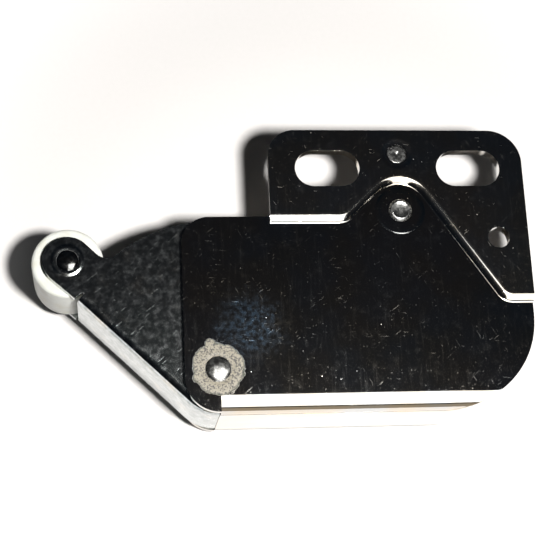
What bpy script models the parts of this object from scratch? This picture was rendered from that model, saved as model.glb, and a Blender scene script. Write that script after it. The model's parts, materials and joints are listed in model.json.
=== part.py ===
"""Push-to-open roller latch: a riveted two-shell sheet-metal case with a sprung roller lever.

The frame has its origin on the mounting face, midway between the two screw slots.
+X runs along the slots, +Y away from the case, and +Z out of the mounting face.
Lengths below are in millimetres and are turned into metres when a mesh is made.
"""
import math

import bmesh
import bpy
from mathutils import Matrix, Vector
from mathutils.geometry import tessellate_polygon

MM = 0.001

# ---------------------------------------------------------------- driving dimensions
SHEET = 0.8                  # thickness of every pressed sheet
SHEET_GAP = 0.05             # air between two sheets that touch
STEP = 0.6                   # the case face lies this far behind the mounting face
CASE_DEPTH = 13.0            # mounting face to the outside of the rear plate

FLANGE_LEFT = -16.9
FLANGE_RIGHT = 16.5
FLANGE_TOP = 5.3
FLANGE_LEFT_RADIUS = 3.6
FLANGE_RIGHT_RADIUS = 4.4

CASE_LEFT = -28.2
CASE_RIGHT = 16.35
CASE_BOTTOM = -31.4
CASE_TOP = -6.35             # free top edge left of the flange
SHOULDER_RIGHT = -17.15      # height of the step where it meets the right edge
CASE_TOP_LEFT_RADIUS = 3.5
CASE_BOTTOM_LEFT_RADIUS = 4.25
CASE_BOTTOM_RIGHT_RADIUS = 11.8

LEVER_PIVOT = Vector((-24.1, -26.1))
PAWL_PIVOT = Vector((0.0, -5.6))
CROWN_RADIUS = 4.5           # the step runs round the pawl pivot at this radius
LEFT_SLOPE = 43.0            # degrees, the step's rise left of the pawl pivot
RIGHT_SLOPE = 56.5           # degrees, the step's fall right of it

SLOT_SPACING = 18.5
SLOT_LENGTH = 8.4
SLOT_WIDTH = 4.9
FLANGE_RIVET = Vector((0.0, 2.0))
FLANGE_RIVET_RADIUS = 1.25
SPARE_HOLE = Vector((12.55, -9.5))
SPARE_HOLE_RADIUS = 1.4

SKIRT_BEND = 2.1             # outer radius of the front cover's bottom bend
SKIRT_START = -23.85         # left end of the bend
SKIRT_STEPS = 12             # faces round the bend
SKIRT_BOW = 0.02             # keeps the points of the bend line off one straight line
FLOOR_WALL_LEFT = -23.9      # ends of the rear cover's bottom wall
FLOOR_WALL_END = 312.0
FLOOR_WALL_GAP = 0.12        # between the front cover's lip and that wall

RIVET_RADIUS = 1.5
RIVET_FIT = 0.05             # radial clearance of a rivet in a hole
LEVER_RIVET_HEAD = 1.62
PAWL_RIVET_HEAD = 1.5
RIVET_HEAD_HEIGHT = 0.42
COUNTERSINK_RADIUS = 2.2
COUNTERSINK_DEPTH = 0.35

LEVER_FRONT = -1.7           # outside of the lever's front cheek
LEVER_WIDTH = 10.2
LEVER_SECTOR = 19.5          # radius of the lever's edge about its pivot
LEVER_WEB_OFFSET = 5.3       # pivot to the outside of the lever's web
WEB_NORMAL = 225.9           # degrees, direction in which the straight web faces
WEB_LENGTH = 18.7            # straight web, from below the pivot towards the roller
LEVER_FOOT = 271.5           # degrees, where the cheeks' bottom ends below the pivot
WEB_SETBACK = 0.03           # the web lies this far inside the cheeks' cut edge
HUB_RADIUS = 3.5
SLEEVE_RADIUS = 2.2
SLEEVE_FIT = 0.05
ROLLER_REACH = Vector((-18.3, 14.45))
ROLLER_RADIUS = 4.5
ROLLER_WIDTH = 8.3
BOSS_RADIUS = 3.1
ROLLER_PIN_RADIUS = 1.1
ROLLER_PIN_HEAD = 1.5
ROLLER_PIN_HEAD_HEIGHT = 0.45
ROLLER_BORE_FIT = 0.08

LATCH_PIN_REACH = 17.0
LATCH_PIN_ANGLE = 66.0
LATCH_PIN_RADIUS = 1.2
LEVER_TRAVEL = 50.0
PAWL_TRAVEL = 12.0
PAWL_THICKNESS = 2.4
PAWL_MIDDLE = -6.8
SPACER_RADIUS = 1.95

MAIN_WIRE = 0.35             # wire radius
MAIN_COIL = 3.0
MAIN_TURNS = 4
MAIN_PITCH = 0.85
PAWL_WIRE = 0.25
PAWL_COIL = 2.6
PAWL_SPRING_TURNS = 3
PAWL_SPRING_PITCH = 0.62

CURVE_STEP = 9.0             # degrees between points on outline arcs
ROUND_SIDES = 36

# ---------------------------------------------------------------- derived levels
FACE = -STEP
CASE_INNER_FRONT = FACE - SHEET
CASE_INNER_REAR = -CASE_DEPTH + SHEET
REAR_FLANGE_FRONT = -SHEET - SHEET_GAP
REAR_FLANGE_REAR = REAR_FLANGE_FRONT - SHEET
LEVER_REAR = LEVER_FRONT - LEVER_WIDTH
ROLLER_FRONT = LEVER_FRONT - (LEVER_WIDTH - ROLLER_WIDTH) / 2


# ---------------------------------------------------------------- outline helpers
def polar(radius, degrees):
    """A plane vector of the given length and direction."""
    angle = math.radians(degrees)
    return Vector((radius * math.cos(angle), radius * math.sin(angle)))


def arc(centre, radius, start, end):
    """Points from the start angle to the end angle, both included."""
    count = max(2, math.ceil(abs(end - start) / CURVE_STEP) + 1)
    return [centre + polar(radius, start + (end - start) * i / (count - 1)) for i in range(count)]


def circle(centre, radius, sides=ROUND_SIDES):
    """A closed round outline."""
    return [centre + polar(radius, 360.0 * i / sides) for i in range(sides)]


def slot(centre_x, grow=0.0):
    """A round-ended screw slot along X."""
    radius = SLOT_WIDTH / 2 + grow
    reach = SLOT_LENGTH / 2 - SLOT_WIDTH / 2
    right = arc(Vector((centre_x + reach, 0)), radius, -90, 90)
    left = arc(Vector((centre_x - reach, 0)), radius, 90, 270)
    return right + left


def shoulder(inset, right, left):
    """The step between flange and case, from the right edge to the left one.

    A positive inset moves the line towards the case, a negative one towards the flange.
    """
    radius = CROWN_RADIUS - inset
    right_point = PAWL_PIVOT + polar(radius, 90 - RIGHT_SLOPE)
    left_point = PAWL_PIVOT + polar(radius, 90 + LEFT_SLOPE)
    right_level = SHOULDER_RIGHT - inset
    left_level = CASE_TOP - inset
    right_foot = right_point.x + (right_point.y - right_level) / math.tan(math.radians(RIGHT_SLOPE))
    left_foot = left_point.x - (left_point.y - left_level) / math.tan(math.radians(LEFT_SLOPE))
    path = [Vector((right, right_level)), Vector((right_foot, right_level))]
    path += arc(PAWL_PIVOT, radius, 90 - RIGHT_SLOPE, 90 + LEFT_SLOPE)
    path += [Vector((left_foot, left_level)), Vector((left, left_level))]
    return path


def low_right_centre():
    """Centre of the case's large bottom right corner."""
    return Vector((CASE_RIGHT - CASE_BOTTOM_RIGHT_RADIUS, CASE_BOTTOM + CASE_BOTTOM_RIGHT_RADIUS))


def case_upper_edge(inset):
    """The case's edge from the right side over the step to the bottom left corner."""
    high = CASE_TOP - inset
    top_left = Vector((CASE_LEFT + CASE_TOP_LEFT_RADIUS, high - CASE_TOP_LEFT_RADIUS))
    low_left = Vector((CASE_LEFT + CASE_BOTTOM_LEFT_RADIUS, CASE_BOTTOM + CASE_BOTTOM_LEFT_RADIUS))
    return (shoulder(inset, CASE_RIGHT, FLANGE_LEFT)
            + arc(top_left, CASE_TOP_LEFT_RADIUS, 90, 180)
            + arc(low_left, CASE_BOTTOM_LEFT_RADIUS, 180, 270))


def case_outline(inset):
    """The case seen from the front, with its top edge on the step."""
    return arc(low_right_centre(), CASE_BOTTOM_RIGHT_RADIUS, 270, 360) + case_upper_edge(inset)


def flange_outline(inset):
    """The flange seen from the front, down to the step."""
    low = shoulder(inset, FLANGE_RIGHT, FLANGE_LEFT)
    low.reverse()
    right_centre = Vector((FLANGE_RIGHT - FLANGE_RIGHT_RADIUS, FLANGE_TOP - FLANGE_RIGHT_RADIUS))
    left_centre = Vector((FLANGE_LEFT + FLANGE_LEFT_RADIUS, FLANGE_TOP - FLANGE_LEFT_RADIUS))
    right = arc(right_centre, FLANGE_RIGHT_RADIUS, 0, 90)
    left = arc(left_centre, FLANGE_LEFT_RADIUS, 90, 180)
    return low + right + left


# ---------------------------------------------------------------- mesh helpers
def material(name, colour, roughness, metallic):
    """A plain Principled material."""
    made = bpy.data.materials.new(name)
    made.use_nodes = True
    shader = made.node_tree.nodes["Principled BSDF"]
    shader.inputs["Base Color"].default_value = (*colour, 1.0)
    shader.inputs["Roughness"].default_value = roughness
    shader.inputs["Metallic"].default_value = metallic
    return made


def add_object(name, mesh, look=None):
    """Link a mesh as an object; one without a material is a hidden helper."""
    made = bpy.data.objects.new(name, mesh)
    bpy.context.scene.collection.objects.link(made)
    if look is None:
        made.hide_render = True
        made.display_type = "WIRE"
    else:
        mesh.materials.append(look)
    return made


def finish_mesh(name, bm, smooth=False):
    """Turn a bmesh in millimetres into a mesh in metres with outward normals."""
    bmesh.ops.remove_doubles(bm, verts=bm.verts, dist=0.0005)
    bmesh.ops.recalc_face_normals(bm, faces=bm.faces)
    bmesh.ops.scale(bm, vec=(MM, MM, MM), verts=bm.verts)
    mesh = bpy.data.meshes.new(name)
    bm.to_mesh(mesh)
    bm.free()
    if smooth:
        mesh.shade_smooth()
        mesh.set_sharp_from_angle(angle=math.radians(35))
    return mesh


def add_plate(bm, outline, holes, low, high, bend=()):
    """Add a plate with holes to a bmesh, closed on all sides.

    The outline's first edges can carry a bent lip: bend holds, for each of their points,
    the outward direction and the lip's (outward, z) points from front to back.
    """
    loops = [outline] + holes
    flat = [[Vector((p.x, p.y, 0)) for p in loop] for loop in loops]
    triangles = tessellate_polygon(flat)
    points = [p for loop in flat for p in loop]
    lower = [bm.verts.new((p.x, p.y, low)) for p in points]
    upper = [bm.verts.new((p.x, p.y, high)) for p in points]
    for corners in triangles:
        bm.faces.new([lower[i] for i in corners])
        bm.faces.new([upper[i] for i in reversed(corners)])
    ribs = []
    for i, (outward, profile) in enumerate(bend):
        rib = [upper[i]]
        for reach, z in profile:
            place = outline[i] + outward * reach
            rib.append(bm.verts.new((place.x, place.y, z)))
        ribs.append(rib + [lower[i]])
    for near, far in zip(ribs, ribs[1:]):
        for k in range(len(near) - 1):
            bm.faces.new((near[k], near[k + 1], far[k + 1]))
            bm.faces.new((near[k], far[k + 1], far[k]))
    if ribs:
        bm.faces.new(ribs[0])
        bm.faces.new(reversed(ribs[-1]))
    start = 0
    for loop in flat:
        for i in range(len(loop)):
            if start == 0 and i < len(ribs) - 1:
                continue
            a = start + i
            b = start + (i + 1) % len(loop)
            bm.faces.new((lower[a], lower[b], upper[b], upper[a]))
        start += len(loop)


def standing_wall(name, outer, inner, low, heights):
    """A wall on one level whose front edge follows the given heights."""
    bm = bmesh.new()
    ribs = []
    for out, into, high in zip(outer, inner, heights):
        corners = ((out, low), (out, high), (into, high), (into, low))
        ribs.append([bm.verts.new((p.x, p.y, z)) for p, z in corners])
    for near, far in zip(ribs, ribs[1:]):
        for k in range(4):
            m = (k + 1) % 4
            bm.faces.new((near[k], near[m], far[m]))
            bm.faces.new((near[k], far[m], far[k]))
    bm.faces.new(ribs[0])
    bm.faces.new(reversed(ribs[-1]))
    return add_object(name, finish_mesh(name, bm))


def plate(name, outline, holes, low, high, look=None):
    """A flat plate as an object of its own."""
    bm = bmesh.new()
    add_plate(bm, outline, holes, low, high)
    return add_object(name, finish_mesh(name, bm), look)


def turned(name, centre, profile, look=None, sides=ROUND_SIDES):
    """A body turned about a line along Z, from (radius, z) points of a closed profile."""
    bm = bmesh.new()
    rings = []
    for radius, z in profile:
        if radius < 1e-6:
            rings.append([bm.verts.new((centre.x, centre.y, z))])
        else:
            rings.append([bm.verts.new((p.x, p.y, z)) for p in circle(centre, radius, sides)])
    for i, ring in enumerate(rings):
        after = rings[(i + 1) % len(rings)]
        if len(ring) == 1 and len(after) == 1:
            continue
        for k in range(sides):
            m = (k + 1) % sides
            corners = [ring[0]] if len(ring) == 1 else [ring[k], ring[m]]
            corners += [after[0]] if len(after) == 1 else [after[m], after[k]]
            bm.faces.new(corners)
    return add_object(name, finish_mesh(name, bm, smooth=True), look)


def wire(name, points, radius, look):
    """A round wire through the given points."""
    curve = bpy.data.curves.new(name, "CURVE")
    curve.dimensions = "3D"
    curve.bevel_depth = radius * MM
    curve.bevel_resolution = 2
    curve.use_fill_caps = True
    spline = curve.splines.new("POLY")
    spline.points.add(len(points) - 1)
    for slot_point, place in zip(spline.points, points):
        slot_point.co = (place.x * MM, place.y * MM, place.z * MM, 1.0)
    made = bpy.data.objects.new(name, curve)
    curve.materials.append(look)
    bpy.context.scene.collection.objects.link(made)
    return made


def combine(target, other, operation):
    """Join another body to the target or cut it away."""
    step = target.modifiers.new(other.name, "BOOLEAN")
    step.operation = operation
    step.solver = "EXACT"
    step.object = other


def axis_empty(name, pivot):
    """An empty on a joint's axis, at the height of the mounting face."""
    made = bpy.data.objects.new(name, None)
    made.location = (pivot.x * MM, pivot.y * MM, 0)
    bpy.context.scene.collection.objects.link(made)
    return made


def hang_on(piece, pivot):
    """Parent a piece to an empty without moving it."""
    piece.parent = pivot
    piece.matrix_parent_inverse = Matrix.Translation(-pivot.location)


def clear_scene():
    """Remove whatever the scene holds."""
    for old in list(bpy.data.objects):
        bpy.data.objects.remove(old, do_unlink=True)


# ---------------------------------------------------------------- the case
def mount_holes(grow=0.0):
    """The holes that both flange layers share."""
    return [slot(-SLOT_SPACING / 2, grow), slot(SLOT_SPACING / 2, grow),
            circle(FLANGE_RIVET, FLANGE_RIVET_RADIUS + RIVET_FIT),
            circle(SPARE_HOLE, SPARE_HOLE_RADIUS + grow)]


def pivot_holes():
    """The two rivet holes of either case plate."""
    radius = RIVET_RADIUS + RIVET_FIT
    return [circle(LEVER_PIVOT, radius), circle(PAWL_PIVOT, radius)]


def skirt_turn():
    """Degrees round the bottom right corner at which the straight bend line meets the edge."""
    rise = 1 - SKIRT_BEND / CASE_BOTTOM_RIGHT_RADIUS
    return 270 + math.degrees(math.acos(rise))


def bottom_edge(start, end):
    """The case's bottom edge from the left and round the corner, with its bend angles.

    The bend line is straight, so the lip narrows round the corner. Each angle says how
    far the bend has turned there: 90 along the straight edge and 0 where the lip ends.
    """
    corner = low_right_centre()
    points = [Vector((start, CASE_BOTTOM))] + arc(corner, CASE_BOTTOM_RIGHT_RADIUS, 270, end)
    angles = []
    for place in points:
        reach = min(1.0, max(0.0, (CASE_BOTTOM + SKIRT_BEND - place.y) / SKIRT_BEND))
        angles.append(math.degrees(math.asin(reach)))
    return points, angles


def bend_profile(angle):
    """The front cover's lip between its two sheet faces, as (outward, z) points."""
    centre = Vector((0, FACE - SKIRT_BEND))
    ways = [polar(1, 90 - angle * k / SKIRT_STEPS) for k in range(SKIRT_STEPS + 1)]
    outer = [centre + way * SKIRT_BEND for way in ways]
    inner = [centre + way * (SKIRT_BEND - SHEET) for way in reversed(ways)]
    return [tuple(p) for p in outer[1:] + inner[:-1]]


def make_front_cover(look):
    """The pressed front sheet: flange, step, case face and bent bottom lip."""
    points, angles = bottom_edge(SKIRT_START, skirt_turn())
    spans = len(points) - 1
    bow = [SKIRT_BOW * math.sin(math.pi * i / spans) for i in range(spans)]
    outline = [Vector((place.x, CASE_BOTTOM + SKIRT_BEND - out)) for place, out in zip(points, bow)]
    bend = [(Vector((0, -1)), bend_profile(angle)) for angle in angles]
    outline += arc(low_right_centre(), CASE_BOTTOM_RIGHT_RADIUS, skirt_turn(), 360)
    outline += case_upper_edge(0.0) + [Vector((SKIRT_START, CASE_BOTTOM))]
    bm = bmesh.new()
    add_plate(bm, outline, pivot_holes(), CASE_INNER_FRONT, FACE, bend)
    cover = add_object("front_cover", finish_mesh("front_cover", bm), look)
    overlap = SHEET - 0.1
    flange = plate("front_flange_body", flange_outline(overlap), mount_holes(), -SHEET, 0)
    combine(cover, flange, "UNION")


def make_rear_cover(look):
    """The rear tray: rear plate, contour wall, bottom wall and rear flange layer."""
    clear = -0.1
    outer = clear - SHEET
    rear = case_outline(outer)
    cover = plate("rear_cover", rear, pivot_holes(), -CASE_DEPTH, CASE_INNER_REAR, look)
    root = CASE_INNER_REAR - 0.2
    inside = shoulder(clear, CASE_RIGHT - 0.1, FLANGE_LEFT + 0.1)
    outside = shoulder(outer + 0.05, CASE_RIGHT - 0.1, FLANGE_LEFT + 0.1)
    outside.reverse()
    wall = plate("rear_wall_body", inside + outside, [], root, REAR_FLANGE_FRONT - 0.1)
    flange = plate("rear_flange_body", flange_outline(clear), mount_holes(0.1),
                   REAR_FLANGE_REAR, REAR_FLANGE_FRONT)
    points, angles = bottom_edge(FLOOR_WALL_LEFT, FLOOR_WALL_END)
    corner = low_right_centre()
    ways = [Vector((0, -1))] + [(place - corner).normalized() for place in points[1:]]
    outside = [place - way * 0.02 for place, way in zip(points, ways)]
    inside = [place - way * SHEET for place, way in zip(outside, ways)]
    heights = [bend_profile(angle)[SKIRT_STEPS][1] - FLOOR_WALL_GAP for angle in angles]
    floor = standing_wall("rear_floor_body", outside, inside, root, heights)
    for part in (wall, flange, floor):
        combine(cover, part, "UNION")
    for index, centre in enumerate((LEVER_PIVOT, PAWL_PIVOT)):
        depth = COUNTERSINK_DEPTH + RIVET_FIT
        sink = [(0, -CASE_DEPTH - 0.5), (COUNTERSINK_RADIUS + RIVET_FIT, -CASE_DEPTH - 0.5),
                (COUNTERSINK_RADIUS + RIVET_FIT, -CASE_DEPTH), (RIVET_RADIUS + RIVET_FIT, -CASE_DEPTH + depth),
                (0, -CASE_DEPTH + depth)]
        combine(cover, turned(f"rear_countersink_{index}", centre, sink), "DIFFERENCE")


def rivet_profile(head_radius):
    """A rivet: domed front head, straight shank, flush countersunk rear end."""
    seat = FACE + SHEET_GAP
    tip = seat + RIVET_HEAD_HEIGHT
    dome = []
    for i in range(6):
        angle = math.radians(90 - 75 * i / 5)
        dome.append((head_radius * math.cos(angle) / math.cos(math.radians(15)),
                     tip - (1 - math.sin(angle)) * RIVET_HEAD_HEIGHT / (1 - math.sin(math.radians(15)))))
    dome[0] = (0, tip)
    dome[-1] = (head_radius, seat + 0.05)
    foot = -CASE_DEPTH
    return dome + [(head_radius, seat), (RIVET_RADIUS, seat), (RIVET_RADIUS, foot + COUNTERSINK_DEPTH),
                   (COUNTERSINK_RADIUS - RIVET_FIT, foot), (0, foot)]


def make_rivets(look):
    """The two pivot rivets and the flush rivet that holds the flange layers together."""
    turned("lever_rivet", LEVER_PIVOT, rivet_profile(LEVER_RIVET_HEAD), look)
    turned("pawl_rivet", PAWL_PIVOT, rivet_profile(PAWL_RIVET_HEAD), look)
    top = -0.06
    foot = REAR_FLANGE_REAR
    dent = FLANGE_RIVET_RADIUS - 0.35
    flush = [(0, top - 0.15), (dent, top - 0.15), (dent + 0.15, top), (FLANGE_RIVET_RADIUS, top),
             (FLANGE_RIVET_RADIUS, foot), (0, foot)]
    turned("flange_rivet", FLANGE_RIVET, flush, look)


def tube(name, centre, inner, outer, low, high, look):
    """A plain round tube."""
    turned(name, centre, [(outer, high), (outer, low), (inner, low), (inner, high)], look)


def make_sleeves(look):
    """The lever's bearing sleeve and the spacers that centre the pawl."""
    bore = RIVET_RADIUS + RIVET_FIT
    front = CASE_INNER_FRONT - SHEET_GAP
    rear = CASE_INNER_REAR + SHEET_GAP
    tube("pivot_sleeve", LEVER_PIVOT, bore, SLEEVE_RADIUS, rear, front, look)
    pawl_front = PAWL_MIDDLE + PAWL_THICKNESS / 2 + SHEET_GAP
    pawl_rear = PAWL_MIDDLE - PAWL_THICKNESS / 2 - SHEET_GAP
    tube("pawl_spacer_front", PAWL_PIVOT, bore, SPACER_RADIUS, pawl_front, front, look)
    tube("pawl_spacer_rear", PAWL_PIVOT, bore, SPACER_RADIUS, rear, pawl_rear, look)


# ---------------------------------------------------------------- the lever
def web_frame():
    """The web's outward direction and the direction from below the pivot to the roller."""
    outward = polar(1, WEB_NORMAL)
    along = polar(1, WEB_NORMAL - 90)
    return outward, along


def cheek_outline():
    """One cheek of the lever, seen from the front."""
    outward, along = web_frame()
    roller = LEVER_PIVOT + ROLLER_REACH
    web_end = LEVER_PIVOT + outward * LEVER_WEB_OFFSET + along * WEB_LENGTH
    boss = arc(roller, BOSS_RADIUS, WEB_NORMAL - 180, WEB_NORMAL)
    boss.reverse()
    neck = [boss[-1] - along * 2.3, boss[-1] - along * 3.0 + outward * -0.25]
    sector = arc(LEVER_PIVOT, LEVER_SECTOR, 131, 58)
    hub = arc(LEVER_PIVOT, HUB_RADIUS, -25, LEVER_FOOT - 360)
    bottom = arc(LEVER_PIVOT, LEVER_WEB_OFFSET, LEVER_FOOT - 360, WEB_NORMAL - 360)
    points = [web_end] + boss + neck + sector + hub + bottom
    points.reverse()
    return points


def web_outline():
    """The bent web strip, seen edge-on from the front."""
    outward, along = web_frame()
    outer = LEVER_WEB_OFFSET - WEB_SETBACK
    inner = outer - SHEET
    length = WEB_LENGTH - WEB_SETBACK
    outer_end = LEVER_PIVOT + outward * outer + along * length
    inner_end = LEVER_PIVOT + outward * inner + along * length
    outer_arc = arc(LEVER_PIVOT, outer, WEB_NORMAL, LEVER_FOOT - 0.5)
    inner_arc = arc(LEVER_PIVOT, inner, LEVER_FOOT - 0.5, WEB_NORMAL)
    return [outer_end] + outer_arc + inner_arc + [inner_end]


def make_lever_arm(look):
    """The folded U-shaped lever: two cheeks and the web between them."""
    latch_pin = LEVER_PIVOT + polar(LATCH_PIN_REACH, LATCH_PIN_ANGLE)
    holes = [circle(LEVER_PIVOT, SLEEVE_RADIUS + SLEEVE_FIT),
             circle(LEVER_PIVOT + ROLLER_REACH, ROLLER_PIN_RADIUS + RIVET_FIT, 24),
             circle(latch_pin, LATCH_PIN_RADIUS + RIVET_FIT, 24)]
    cheek = cheek_outline()
    lever = plate("lever_arm", cheek, holes, LEVER_FRONT - SHEET, LEVER_FRONT, look)
    far = plate("lever_far_cheek", cheek, holes, LEVER_REAR, LEVER_REAR + SHEET)
    web = plate("lever_web", web_outline(), [], LEVER_REAR + SHEET / 2, LEVER_FRONT - SHEET / 2)
    combine(lever, web, "UNION")
    combine(lever, far, "UNION")
    return lever


def make_roller(look):
    """The plastic roller, with slightly rounded rims and a bore."""
    centre = LEVER_PIVOT + ROLLER_REACH
    bore = ROLLER_PIN_RADIUS + ROLLER_BORE_FIT
    front = ROLLER_FRONT
    rear = ROLLER_FRONT - ROLLER_WIDTH
    rim = 0.35
    profile = [(bore, front), (ROLLER_RADIUS - rim, front), (ROLLER_RADIUS, front - rim),
               (ROLLER_RADIUS, rear + rim), (ROLLER_RADIUS - rim, rear), (bore, rear)]
    return turned("roller", centre, profile, look, sides=48)


def make_roller_pin(look):
    """The roller's axle, headed on both sides."""
    centre = LEVER_PIVOT + ROLLER_REACH
    seat = LEVER_FRONT + SHEET_GAP
    top = seat + ROLLER_PIN_HEAD_HEIGHT
    foot_seat = LEVER_REAR - SHEET_GAP
    foot = foot_seat - ROLLER_PIN_HEAD_HEIGHT / 2
    profile = [(0, top), (ROLLER_PIN_HEAD * 0.55, top - 0.08), (ROLLER_PIN_HEAD * 0.88, top - 0.24),
               (ROLLER_PIN_HEAD, seat), (ROLLER_PIN_RADIUS, seat), (ROLLER_PIN_RADIUS, foot_seat),
               (ROLLER_PIN_HEAD, foot_seat), (ROLLER_PIN_HEAD * 0.9, foot), (0, foot)]
    return turned("roller_pin", centre, profile, look, sides=24)


def make_latch_pin(look):
    """The cross pin between the cheeks that the pawl's nose catches."""
    centre = LEVER_PIVOT + polar(LATCH_PIN_REACH, LATCH_PIN_ANGLE)
    front = LEVER_FRONT - 0.05
    rear = LEVER_REAR + 0.05
    profile = [(0, front), (LATCH_PIN_RADIUS, front), (LATCH_PIN_RADIUS, rear), (0, rear)]
    return turned("latch_pin", centre, profile, look, sides=24)


# ---------------------------------------------------------------- the pawl
def pawl_outline():
    """The pawl where it holds the latch pin, seen from the front."""
    caught = LEVER_PIVOT + polar(LATCH_PIN_REACH, LATCH_PIN_ANGLE - LEVER_TRAVEL)
    gap = 0.15
    side = caught.x + LATCH_PIN_RADIUS + gap
    under = caught.y + LATCH_PIN_RADIUS + gap
    eye = arc(PAWL_PIVOT, 3.1, -5, 185)
    nose = [Vector((side + 0.2, caught.y + 5.6)), Vector((side - 2.0, under + 0.9)),
            Vector((side - 2.3, under + 0.35)), Vector((side - 2.1, under)),
            Vector((side - 0.3, under)), Vector((side, under - 0.3)), Vector((side, caught.y - 1.2))]
    tail = [Vector((side + 0.5, caught.y - 1.8)), Vector((side + 2.2, caught.y - 1.8)),
            Vector((side + 2.9, caught.y - 1.1))]
    return eye + nose + tail


def make_pawl(look):
    """The pawl, turned back by its travel to where it lets the pin pass."""
    turn = Matrix.Rotation(math.radians(PAWL_TRAVEL), 2)
    outline = [PAWL_PIVOT + turn @ (p - PAWL_PIVOT) for p in pawl_outline()]
    hole = circle(PAWL_PIVOT, RIVET_RADIUS + RIVET_FIT)
    low = PAWL_MIDDLE - PAWL_THICKNESS / 2
    return plate("pawl", outline, [hole], low, low + PAWL_THICKNESS, look)


# ---------------------------------------------------------------- springs
def coil(centre, radius, start, sweep, low, pitch):
    """Points of a coil that climbs by the pitch each turn."""
    count = round(abs(sweep) / 22.5) + 1
    points = []
    for i in range(count):
        angle = start + sweep * i / (count - 1)
        place = centre + polar(radius, angle)
        points.append(Vector((place.x, place.y, low + pitch * abs(sweep) * i / (count - 1) / 360)))
    return points


def make_main_spring(look):
    """The torsion spring round the sleeve: one leg on the web, one on the bottom wall."""
    outward, along = web_frame()
    low = -9.3
    sweep = 270 - WEB_NORMAL + 360 * MAIN_TURNS
    turns = coil(LEVER_PIVOT, MAIN_COIL, WEB_NORMAL, sweep, low, MAIN_PITCH)
    tip = LEVER_PIVOT + outward * (LEVER_WEB_OFFSET - SHEET - MAIN_WIRE - 0.1) + along * 12
    bend = LEVER_PIVOT + outward * (MAIN_COIL + 0.02) + along * 1.2
    high = turns[-1].z
    foot = Vector((LEVER_PIVOT.x + 1.2, LEVER_PIVOT.y - MAIN_COIL - 0.02))
    rest = Vector((LEVER_PIVOT.x + 12, CASE_BOTTOM + SHEET + MAIN_WIRE + 0.1))
    points = [Vector((tip.x, tip.y, low)), Vector((bend.x, bend.y, low))] + turns
    points += [Vector((foot.x, foot.y, high)), Vector((rest.x, rest.y, high))]
    wire("main_spring", points, MAIN_WIRE, look)


def make_pawl_spring(look):
    """The small torsion spring behind the pawl: one leg on the pawl, one on the wall."""
    low = CASE_INNER_REAR + PAWL_WIRE + 0.3
    start = 133.0
    sweep = 180.0 - start + 360 * PAWL_SPRING_TURNS
    turns = coil(PAWL_PIVOT, PAWL_COIL, start, sweep, low, PAWL_SPRING_PITCH)
    slope = polar(1, 180 + LEFT_SLOPE)
    wall_leg = PAWL_PIVOT + polar(PAWL_COIL, start) - slope * -5.0
    wall_leg += polar(0.55, 90 + LEFT_SLOPE)
    high = turns[-1].z
    down = PAWL_PIVOT + Vector((-PAWL_COIL - 1.05, -6.2))
    hook = down + Vector((-0.35, -0.6))
    points = [Vector((wall_leg.x, wall_leg.y, low))] + turns
    points += [Vector((down.x, down.y, high)), Vector((hook.x, hook.y, high + 0.3)),
               Vector((hook.x, hook.y, PAWL_MIDDLE))]
    wire("pawl_spring", points, PAWL_WIRE, look)


# ---------------------------------------------------------------- assembly
def main():
    """Build every piece and hang the moving ones on their axes."""
    clear_scene()
    bright = material("bright_nickel", (0.62, 0.61, 0.58), 0.12, 1.0)
    worn = material("worn_nickel", (0.50, 0.50, 0.48), 0.32, 1.0)
    rivet_steel = material("rivet_steel", (0.58, 0.58, 0.56), 0.25, 1.0)
    plain_steel = material("plain_steel", (0.45, 0.45, 0.46), 0.35, 1.0)
    spring_steel = material("spring_steel", (0.30, 0.30, 0.32), 0.30, 1.0)
    nylon = material("white_nylon", (0.86, 0.86, 0.82), 0.45, 0.0)

    make_front_cover(bright)
    make_rear_cover(bright.copy())
    make_rivets(rivet_steel)
    make_sleeves(plain_steel)
    lever_axis = axis_empty("lever_axis", LEVER_PIVOT)
    roller_axis = axis_empty("roller_axis", LEVER_PIVOT + ROLLER_REACH)
    pawl_axis = axis_empty("pawl_axis", PAWL_PIVOT)
    for piece in (make_lever_arm(worn), make_roller_pin(rivet_steel), make_latch_pin(plain_steel)):
        hang_on(piece, lever_axis)
    hang_on(make_roller(nylon), roller_axis)
    hang_on(make_pawl(plain_steel), pawl_axis)
    make_main_spring(spring_steel)
    make_pawl_spring(spring_steel)


main()
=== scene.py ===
"""A push-to-open roller latch: pressed nickel-plated case, folded lever and nylon roller.

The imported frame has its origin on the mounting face, with +Z out of it. Outlines are
worked out in millimetres and every finished mesh is in metres.
"""
import json
import math

import bmesh
import bpy
from bpy.props import FloatProperty, FloatVectorProperty, IntProperty, PointerProperty
from mathutils import Matrix, Vector
from mathutils.geometry import tessellate_polygon

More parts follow.
